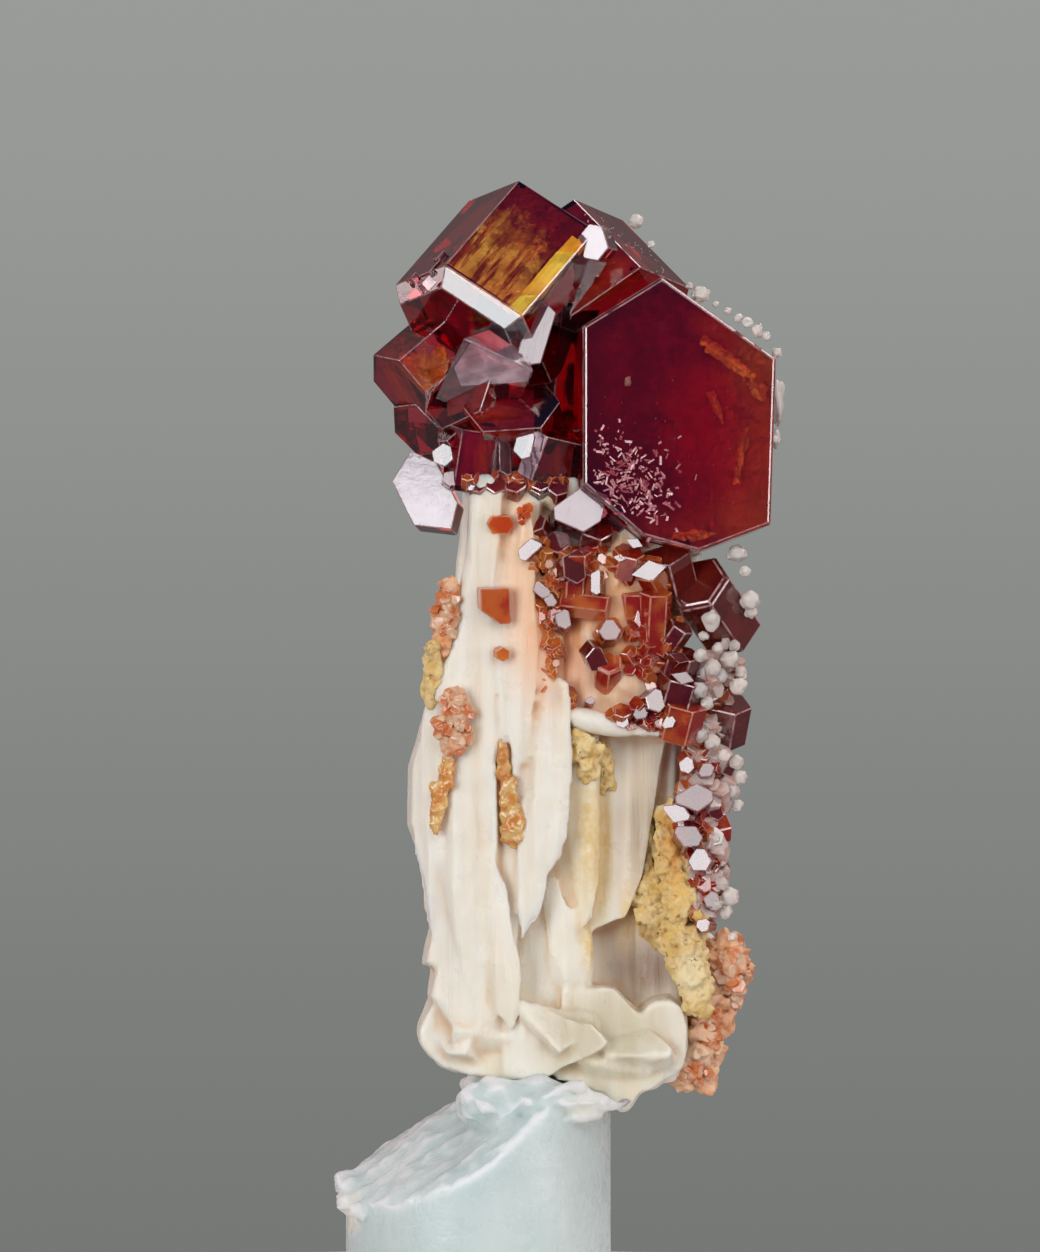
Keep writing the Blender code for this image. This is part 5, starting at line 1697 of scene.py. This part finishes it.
    def relief(self, place: Vector, normal: Vector) -> Vector:
        """Flute the plates and chip their edges.

        Args:
            place: a point of the surface.
            normal: its normal.

        Returns:
            How far the point moves.
        """
        flutes = noise.noise(Vector((place.x * 0.9, place.y * 0.9, place.z * 0.10)))
        fibres = noise.noise(Vector((place.x * 2.6, place.y * 2.6, place.z * 0.16 + 3)))
        waves = noise.noise(Vector((place.x * 0.35 + 9, place.y * 0.35, place.z * 0.16)))
        chips = noise.noise(Vector((place.x * 1.6, place.y * 1.6, place.z * 1.3 + 5)))
        return normal * (self.flute * flutes + 0.05 * fibres + 0.22 * waves + 0.03 * chips - 0.05)

    def leaf(self, x: float, y: float, z: float, wide: float, tall: float, lean: float, turn: float) -> BMesh:
        """Make one upright blade on a face, one edge of it proud.

        Args:
            x, y, z: its middle.
            wide: half its width.
            tall: half its height.
            lean: how far it leans sideways, in radians.
            turn: how far it is turned round the upright, in degrees.

        Returns:
            The blade, in millimetres.
        """
        bm = ball((0, 0, 0), (wide, 0.24, tall), 4, x + z, 0.25)
        bmesh.ops.rotate(bm, cent=(0, 0, 0), matrix=Matrix.Rotation(math.radians(turn), 3, "Z"), verts=bm.verts[:])
        bmesh.ops.rotate(bm, cent=(0, 0, 0), matrix=Matrix.Rotation(lean, 3, "Y"), verts=bm.verts[:])
        bmesh.ops.translate(bm, vec=(x, y, z), verts=bm.verts[:])
        return bm

    def build(self, socket: Object) -> None:
        """Make the barite.

        Args:
            socket: the closed shape that the crown needs.
        """
        shapes = [plate.shape() for plate in self.plates]
        shapes += [self.leaf(*sizes) for sizes in self.leaves]
        shapes += [ball(centre, radii, 3, index, 0.3) for index, (centre, radii) in enumerate(self.lumps)]
        shapes += [block.shape(0.12) for block in self.blocks]
        piece = fused("barite", shapes, self.voxel)
        sculpt(piece, self.relief, smooth=3)
        carved(piece, socket)
        thinned(piece, self.most)
        hollows(piece, 40)
        piece.data.shade_smooth()
        dress(piece, self.finish.material(), Slot.BARITE, "barite_matrix")


@dataclass(frozen=True)
class Crust:
    """A granular crust along a line of places, each with its half width and half depth."""

    name: str
    stations: tuple[tuple[float, float, float, float, float], ...]
    seed: int
    grains: int
    grain: float = 0.16
    nodes: tuple[str, ...] = ()

    def shapes(self) -> Iterator[BMesh]:
        """Make the crust's lumps and the grains on them.

        Yields:
            Each lump or grain, in millimetres.
        """
        pick = random.Random(self.seed)
        for upper, lower in zip(self.stations, self.stations[1:]):
            tall = abs(upper[2] - lower[2])
            middle = [(a + b) / 2 for a, b in zip(upper, lower)]
            yield ball(middle[:3], (middle[3] * 1.1, middle[4] * 1.1, 0.5 * tall + 0.35), 3, pick.uniform(0, 99), 0.5)
        for _ in range(self.grains):
            spot = pick.uniform(0, len(self.stations) - 1.001)
            share = spot % 1.0
            upper, lower = self.stations[int(spot)], self.stations[int(spot) + 1]
            x, y, z, wide, deep = ((1 - share) * a + share * b for a, b in zip(upper, lower))
            turn = pick.uniform(-2.8, 0.2)
            size = self.grain * pick.choice((0.5, 0.7, 0.9, 1.2, 1.8, 2.6))
            reach = pick.uniform(0.75, 1.1)
            place = (x + math.cos(turn) * wide * reach, y + math.sin(turn) * deep * reach, z + pick.uniform(-0.3, 0.3))
            yield ball(place, (size, size, size * pick.uniform(0.7, 1.4)), 2, pick.uniform(0, 99), 0.8)

    def build(self, material: Material, slot: Slot) -> None:
        """Make the crust.

        Args:
            material: its material.
            slot: the record's finish for it.
        """
        piece = fused(self.name, list(self.shapes()), 0.06)

        def roughen(place: Vector, normal: Vector) -> Vector:
            return normal * (0.07 * noise.fractal(place * 2.4, 0.6, 2.0, 4))

        sculpt(piece, roughen, smooth=1)
        hollows(piece, 12)
        dress(piece, material, slot, *self.nodes)


@dataclass
class Crusts:
    """The ochre and orange crusts and the tiny orange crystals on them."""

    ochre: CrustFinish = CrustFinish("earthy_ochre", (0.82, 0.65, 0.33), (0.72, 0.47, 0.14), (0.42, 0.21, 0.06),
                                     specks=0.9, rough=0.95, spots=(
                                         ((8.2, -2.0, 19.3), (0.9, 2.0, 2.4), (0.86, 0.40, 0.08)),
                                         ((8.4, -2.2, 17.0), (0.7, 2.0, 1.0), (0.84, 0.50, 0.12)),
                                         # The next two dark brown spots are painted shade on the ridge's left side and
                                         # below it.
                                         ((6.9, -1.6, 18.6), (0.6, 2.0, 1.3), (0.22, 0.15, 0.07)),
                                         ((7.2, -1.6, 15.4), (0.7, 2.0, 1.0), (0.34, 0.20, 0.07)),
                                         ((8.9, -2.6, 13.6), (1.0, 2.0, 1.6), (0.90, 0.80, 0.52))))
    amber: DruseFinish = DruseFinish("amber_crust", (0.98, 0.66, 0.24), (0.86, 0.36, 0.07), 0.35, 0.10, 1.7)
    peach: CrustFinish = CrustFinish("peach_crust", (0.88, 0.56, 0.34), (0.76, 0.32, 0.13), (0.50, 0.16, 0.06),
                                     specks=0.1, rough=0.5, glow=0.4, spots=(
                                         ((9.0, -1.4, 10.0), (1.8, 2.4, 1.8), (0.86, 0.68, 0.48)),
                                         ((9.4, -1.6, 13.0), (0.8, 1.6, 2.6), (0.88, 0.70, 0.48)),
                                         ((10.7, -1.6, 13.9), (0.7, 1.6, 1.1), (0.96, 0.40, 0.10))))
    orange: DruseFinish = DruseFinish("orange_crystals", (0.98, 0.66, 0.42), (0.84, 0.26, 0.08), 0.25, 0.10, 1.8)
    ochre_lines: tuple[Crust, ...] = (
        Crust("ochre_ridge", ((6.85, -1.2, 19.6, 0.35, 0.35), (7.1, -1.2, 17.8, 0.60, 0.5),
                              (7.5, -1.3, 16.4, 0.90, 0.6), (7.9, -1.6, 15.3, 1.0, 0.7), (8.6, -2.1, 14.6, 0.9, 0.8),
                              (9.0, -2.4, 13.3, 0.65, 0.6), (9.1, -2.3, 12.2, 0.35, 0.35)), 1, 420, 0.13,
              nodes=("ochre_crust",)),
        Crust("ochre_upper", ((7.9, -1.6, 20.4, 0.35, 0.30), (8.1, -1.8, 19.0, 0.60, 0.40),
                              (8.3, -1.9, 17.6, 0.70, 0.45), (8.7, -2.1, 16.0, 0.65, 0.45)), 14, 260, 0.11),
        Crust("ochre_inner_line", ((5.0, -2.7, 22.9, 0.3, 0.3), (5.35, -2.0, 21.6, 0.22, 0.3),
                                   (5.4, -1.5, 19.6, 0.2, 0.3), (5.5, -1.3, 17.6, 0.18, 0.3)), 2, 70, 0.11),
        Crust("ochre_under_ledge", ((3.95, -3.3, 23.6, 0.35, 0.3), (4.5, -3.3, 22.9, 0.5, 0.35),
                                    (4.5, -3.0, 21.9, 0.35, 0.3)), 3, 60, 0.12),
        Crust("shoulder_foot", ((-1.75, -3.2, 27.0, 0.35, 0.35), (-1.95, -3.1, 26.0, 0.40, 0.4),
                                (-2.05, -3.0, 25.0, 0.25, 0.3)), 4, 20, 0.14),
    )
    amber_lines: tuple[Crust, ...] = (
        Crust("amber_streak", ((-1.15, -3.95, 22.4, 0.22, 0.20), (-1.5, -3.92, 21.5, 0.42, 0.22),
                               (-1.75, -3.88, 20.5, 0.28, 0.20), (-1.8, -3.80, 19.7, 0.14, 0.2)), 5, 24, 0.08,
              ("amber_patch",)),
        Crust("groove_streak", ((0.95, -3.75, 22.8, 0.18, 0.22), (1.15, -3.72, 21.6, 0.30, 0.24),
                                (1.4, -3.68, 20.5, 0.45, 0.26), (1.45, -3.66, 19.5, 0.42, 0.26),
                                (1.4, -3.66, 19.2, 0.40, 0.24)), 6, 30, 0.08, ("groove_patch",)),
    )
    peach_lines: tuple[Crust, ...] = (
        Crust("foot_crust", ((10.3, -0.3, 14.8, 0.45, 0.6), (10.3, -0.4, 13.6, 0.8, 0.9), (9.9, -0.4, 12.2, 0.8, 0.9),
                             (9.4, -0.5, 10.9, 0.7, 0.8), (9.0, -0.7, 9.6, 0.75, 0.7), (8.6, -0.8, 8.95, 0.45, 0.45)),
              7, 110, 0.2, ("foot_druse",)),
        Crust("shoulder_crust", ((-1.1, -3.2, 29.8, 0.25, 0.3), (-1.25, -3.2, 28.8, 0.42, 0.45),
                                 (-1.5, -3.1, 27.6, 0.40, 0.45), (-1.7, -3.0, 27.0, 0.3, 0.3)), 8, 60, 0.11,
              ("shoulder_druse",)),
        Crust("rosette_crust", ((-0.9, -3.95, 25.2, 0.4, 0.22), (-0.95, -3.95, 24.1, 0.6, 0.25),
                                (-1.05, -3.95, 22.9, 0.35, 0.22)), 9, 70, 0.10, ("rosette_patch",)),
    )
    orange_patches: dict[str, tuple[Patch, ...]] = field(default_factory=lambda: {
        "shoulder_crystals": (Patch((-1.3, -3.80, 28.7), (0.55, 1.25), 34, (0.10, 0.26), 31, 0.3),),
        "rosette_crystals": (Patch((-0.95, -4.50, 24.1), (0.80, 1.50), 52, (0.10, 0.24), 32, 0.35, 0.9),),
        "foot_crystals": (Patch((10.6, -1.75, 13.6), (0.80, 1.60), 50, (0.12, 0.34), 33, 0.9),
                          Patch((9.7, -1.75, 11.3), (0.65, 1.40), 34, (0.10, 0.24), 34, 0.6),
                          Patch((8.9, -1.85, 9.4), (0.85, 0.60), 24, (0.10, 0.22), 35, 0.5)),
    })

    def build(self) -> None:
        """Make the crusts."""
        for lines, finish, slot in ((self.ochre_lines, self.ochre, Slot.OCHRE),
                                    (self.amber_lines, self.amber, Slot.OCHRE),
                                    (self.peach_lines, self.peach, Slot.ORANGE)):
            material = finish.material()
            for line in lines:
                line.build(material, slot)
        material = self.orange.material()
        for name, patches in self.orange_patches.items():
            piece = loose(name, (item.shape(0.02) for patch in patches for item in patch.crystals()))
            dress(piece, material, Slot.ORANGE)


@dataclass
class Holder:
    """The glue stick with its slanting cut and the glue that melted round the foot."""

    finish: GlueFinish = GlueFinish()
    radius: float = 5.56
    blank: float = 12.0
    sides: int = 96
    voxel: float = 0.14
    cuts: tuple[tuple[Point, Point], ...] = (
        ((0.4, 0.0, 9.0), (-0.68, 0.0, 1.0)),
        ((0.4, -1.0, 9.0), (-0.68, -0.68, 1.0)),
        ((0.4, 1.8, 9.0), (-0.68, 0.50, 1.0)),
        ((0.4, 0.0, 8.9), (0.21, 0.0, 1.0)),
    )
    melts: tuple[tuple[Point, Point], ...] = (
        ((0.7, -3.2, 8.2), (1.5, 1.7, 1.1)),
        ((2.4, -3.3, 8.5), (1.6, 1.5, 0.8)),
        ((4.0, -2.9, 8.3), (1.5, 1.8, 0.6)),
        ((3.6, 1.6, 8.6), (1.6, 2.0, 0.8)),
        ((1.2, 2.4, 8.6), (1.8, 1.8, 0.9)),
        ((-5.5, -0.7, 4.7), (0.55, 1.1, 0.55)),
        ((-5.45, -1.7, 4.0), (0.50, 0.8, 0.38)),
        ((-5.0, -2.6, 3.75), (0.45, 0.7, 0.30)),
    )
    rolls: tuple[tuple[Point, ...], ...] = (
        ((2.9, -4.5, 8.6), (3.5, -4.55, 8.95), (4.2, -4.4, 9.0), (4.7, -4.1, 8.6), (5.2, -3.8, 8.2),
         (5.8, -3.3, 8.1), (6.2, -2.8, 8.3)),
        ((4.1, -4.2, 7.55), (4.6, -3.9, 7.75), (5.1, -3.4, 7.75)),
        ((-0.2, -4.0, 8.9), (0.0, -4.6, 8.3), (0.4, -4.9, 7.9)),
    )

    def tear(self, place: Vector, normal: Vector) -> Vector:
        """Ripple the cut and the melted glue, and leave the stick's side smooth.

        Args:
            place: a point of the surface.
            normal: its normal.

        Returns:
            How far the point moves.
        """
        side = math.hypot(place.x, place.y) > self.radius - 0.25 and abs(normal.z) < 0.35
        if side or place.z < 1.0:
            return Vector((0.0, 0.0, 0.0))
        drag = noise.noise(Vector(((place.x + place.z) * 0.22, place.y * 1.8, (place.z - place.x) * 0.5)))
        fine = noise.noise(place * 1.9)
        return normal * (0.24 * drag + 0.09 * fine)

    def strands(self) -> Iterator[BMesh]:
        """Make the rolled edges of melted glue.

        Yields:
            Each bead of a roll, in millimetres.
        """
        for number, roll in enumerate(self.rolls):
            for start, end in zip(roll, roll[1:]):
                for step in range(4):
                    share = step / 4
                    place = [(1 - share) * a + share * b for a, b in zip(start, end)]
                    yield ball(place, (0.26, 0.26, 0.15), 2, number + step, 0.3)

    def build(self) -> None:
        """Make the stick."""
        stick = bmesh.new()
        bmesh.ops.create_cone(stick, cap_ends=True, segments=self.sides, radius1=self.radius,
                              radius2=self.radius, depth=self.blank)
        bmesh.ops.translate(stick, vec=(0, 0, self.blank / 2), verts=stick.verts[:])
        for point, outward in self.cuts:
            cut_away(stick, Vector(point), Vector(outward))
        drops = [ball(centre, radii, 3, index, 0.35) for index, (centre, radii) in enumerate(self.melts)]
        piece = fused("glue_stick", [stick] + drops + list(self.strands()), self.voxel)
        sculpt(piece, self.tear, smooth=2)
        hollows(piece, 20)
        dress(piece, self.finish.material(), Slot.GLUE, "holder_stick")


@dataclass(frozen=True)
class Softbox:
    """A soft area light: where it stands, its width and height in millimetres, and how bright its face is."""

    name: str
    place: Point
    size: tuple[float, float]
    glow: float
    colour: Colour = (1.0, 1.0, 1.0)

    def build(self, target: Vector) -> None:
        """Set the light up.

        Args:
            target: what it faces, in millimetres.
        """
        light = bpy.data.lights.new(self.name, "AREA")
        light.shape = "RECTANGLE"
        light.size = self.size[0] * MM
        light.size_y = self.size[1] * MM
        light.color = self.colour
        light.energy = self.glow * math.pi * light.size * light.size_y
        item = bpy.data.objects.new(self.name, light)
        bpy.context.scene.collection.objects.link(item)
        item.location = Vector(self.place) * MM
        item.rotation_euler = (target - Vector(self.place)).to_track_quat("-Z", "Y").to_euler()
        item.visible_camera = False


@dataclass
class Studio:
    """The floor, the grey surroundings, the lights and the camera."""

    floor: PaintFinish = PaintFinish("pale_floor", (0.68, 0.69, 0.68))
    backdrop_low: Colour = (0.17, 0.18, 0.17)
    backdrop_high: Colour = (0.33, 0.34, 0.33)
    room: Colour = (0.035, 0.03, 0.09)
    walls: Colour = (0.20, 0.125, 0.14)
    ceiling: Colour = (0.26, 0.165, 0.17)
    target: Point = (3.0, 0.0, 28.0)
    lens: float = 250.0
    film: float = 36.0
    focus_depth: float = -3.0
    boxes: tuple[Softbox, ...] = (
        Softbox("key_left", (-170.0, -250.0, 60.0), (150.0, 210.0), 5.6, (0.95, 0.98, 1.0)),
        Softbox("front_high", (56.0, -250.0, 187.0), (150.0, 150.0), 3.4),
        Softbox("top", (130.0, 85.0, 270.0), (200.0, 170.0), 3.6),
        Softbox("fill_right", (260.0, -160.0, 80.0), (120.0, 220.0), 4.2),
        Softbox("rim_back", (-270.0, 120.0, 150.0), (120.0, 160.0), 2.6, (1.0, 0.80, 0.80)),
    )

    def camera(self) -> None:
        """Look along +Y at the photograph's scale."""
        data = bpy.data.cameras.new("camera")
        data.sensor_fit = "VERTICAL"
        data.sensor_height = self.film
        data.lens = self.lens
        data.clip_start = 0.01
        distance = PHOTO_HEIGHT / PIXELS_PER_MM * self.lens / self.film
        x, z = in_photo(PHOTO_WIDTH / 2, PHOTO_HEIGHT / 2)
        item = bpy.data.objects.new("camera", data)
        bpy.context.scene.collection.objects.link(item)
        item.location = Vector((x, self.focus_depth - distance, z)) * MM
        item.rotation_euler = (math.pi / 2, 0.0, 0.0)
        bpy.context.scene.camera = item

    def surroundings(self) -> None:
        """A grey backdrop, a little lighter above than below, and a dark room on the camera's side."""
        world = bpy.data.worlds.new("surroundings")
        world.use_nodes = True
        tree = world.node_tree
        tree.nodes.clear()
        output = tree.nodes.new("ShaderNodeOutputWorld")
        background = tree.nodes.new("ShaderNodeBackground")
        split = tree.nodes.new("ShaderNodeSeparateXYZ")
        tree.links.new(tree.nodes.new("ShaderNodeTexCoord").outputs["Generated"], split.inputs[0])
        shade = self.backdrop_low
        for axis, low, high, other in (("Z", -0.10, 0.10, self.backdrop_high), ("Z", 0.12, 0.30, self.ceiling),
                                       ("Y", 0.55, -0.15, self.room),
                                       ("X", 0.30, 0.75, self.walls), ("X", -0.30, -0.75, self.walls)):
            span = tree.nodes.new("ShaderNodeMapRange")
            span.interpolation_type = "SMOOTHSTEP"
            tree.links.new(split.outputs[axis], span.inputs["Value"])
            span.inputs["From Min"].default_value = low
            span.inputs["From Max"].default_value = high
            mix = tree.nodes.new("ShaderNodeMix")
            mix.data_type = "RGBA"
            tree.links.new(span.outputs["Result"], mix.inputs[0])
            if isinstance(shade, NodeSocket):
                tree.links.new(shade, mix.inputs[6])
            else:
                mix.inputs[6].default_value = (*shade, 1.0)
            mix.inputs[7].default_value = (*other, 1.0)
            shade = mix.outputs[2]
        tree.links.new(shade, background.inputs["Color"])
        tree.links.new(background.outputs["Background"], output.inputs["Surface"])
        bpy.context.scene.world = world

    def build(self) -> None:
        """Set up the studio."""
        self.camera()
        self.surroundings()
        for box in self.boxes:
            box.build(Vector(self.target))
        bm = bmesh.new()
        bmesh.ops.create_circle(bm, cap_ends=True, segments=96, radius=26.0)
        bmesh.ops.translate(bm, vec=(0.0, 0.0, -0.02), verts=bm.verts[:])
        floor = link("floor", to_mesh("floor", bm))
        floor.data.materials.append(self.floor.material())
        bpy.context.scene.view_settings.view_transform = "Standard"


def main() -> None:
    """Build the studio and every piece in order."""
    logging.basicConfig(level=logging.INFO, format="%(message)s")
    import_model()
    Studio().build()
    socket = Crown().build()
    Barite().build(socket)
    SmallCrystals().build()
    Beads().build()
    Crusts().build()
    Holder().build()


if __name__ == "__main__":
    main()
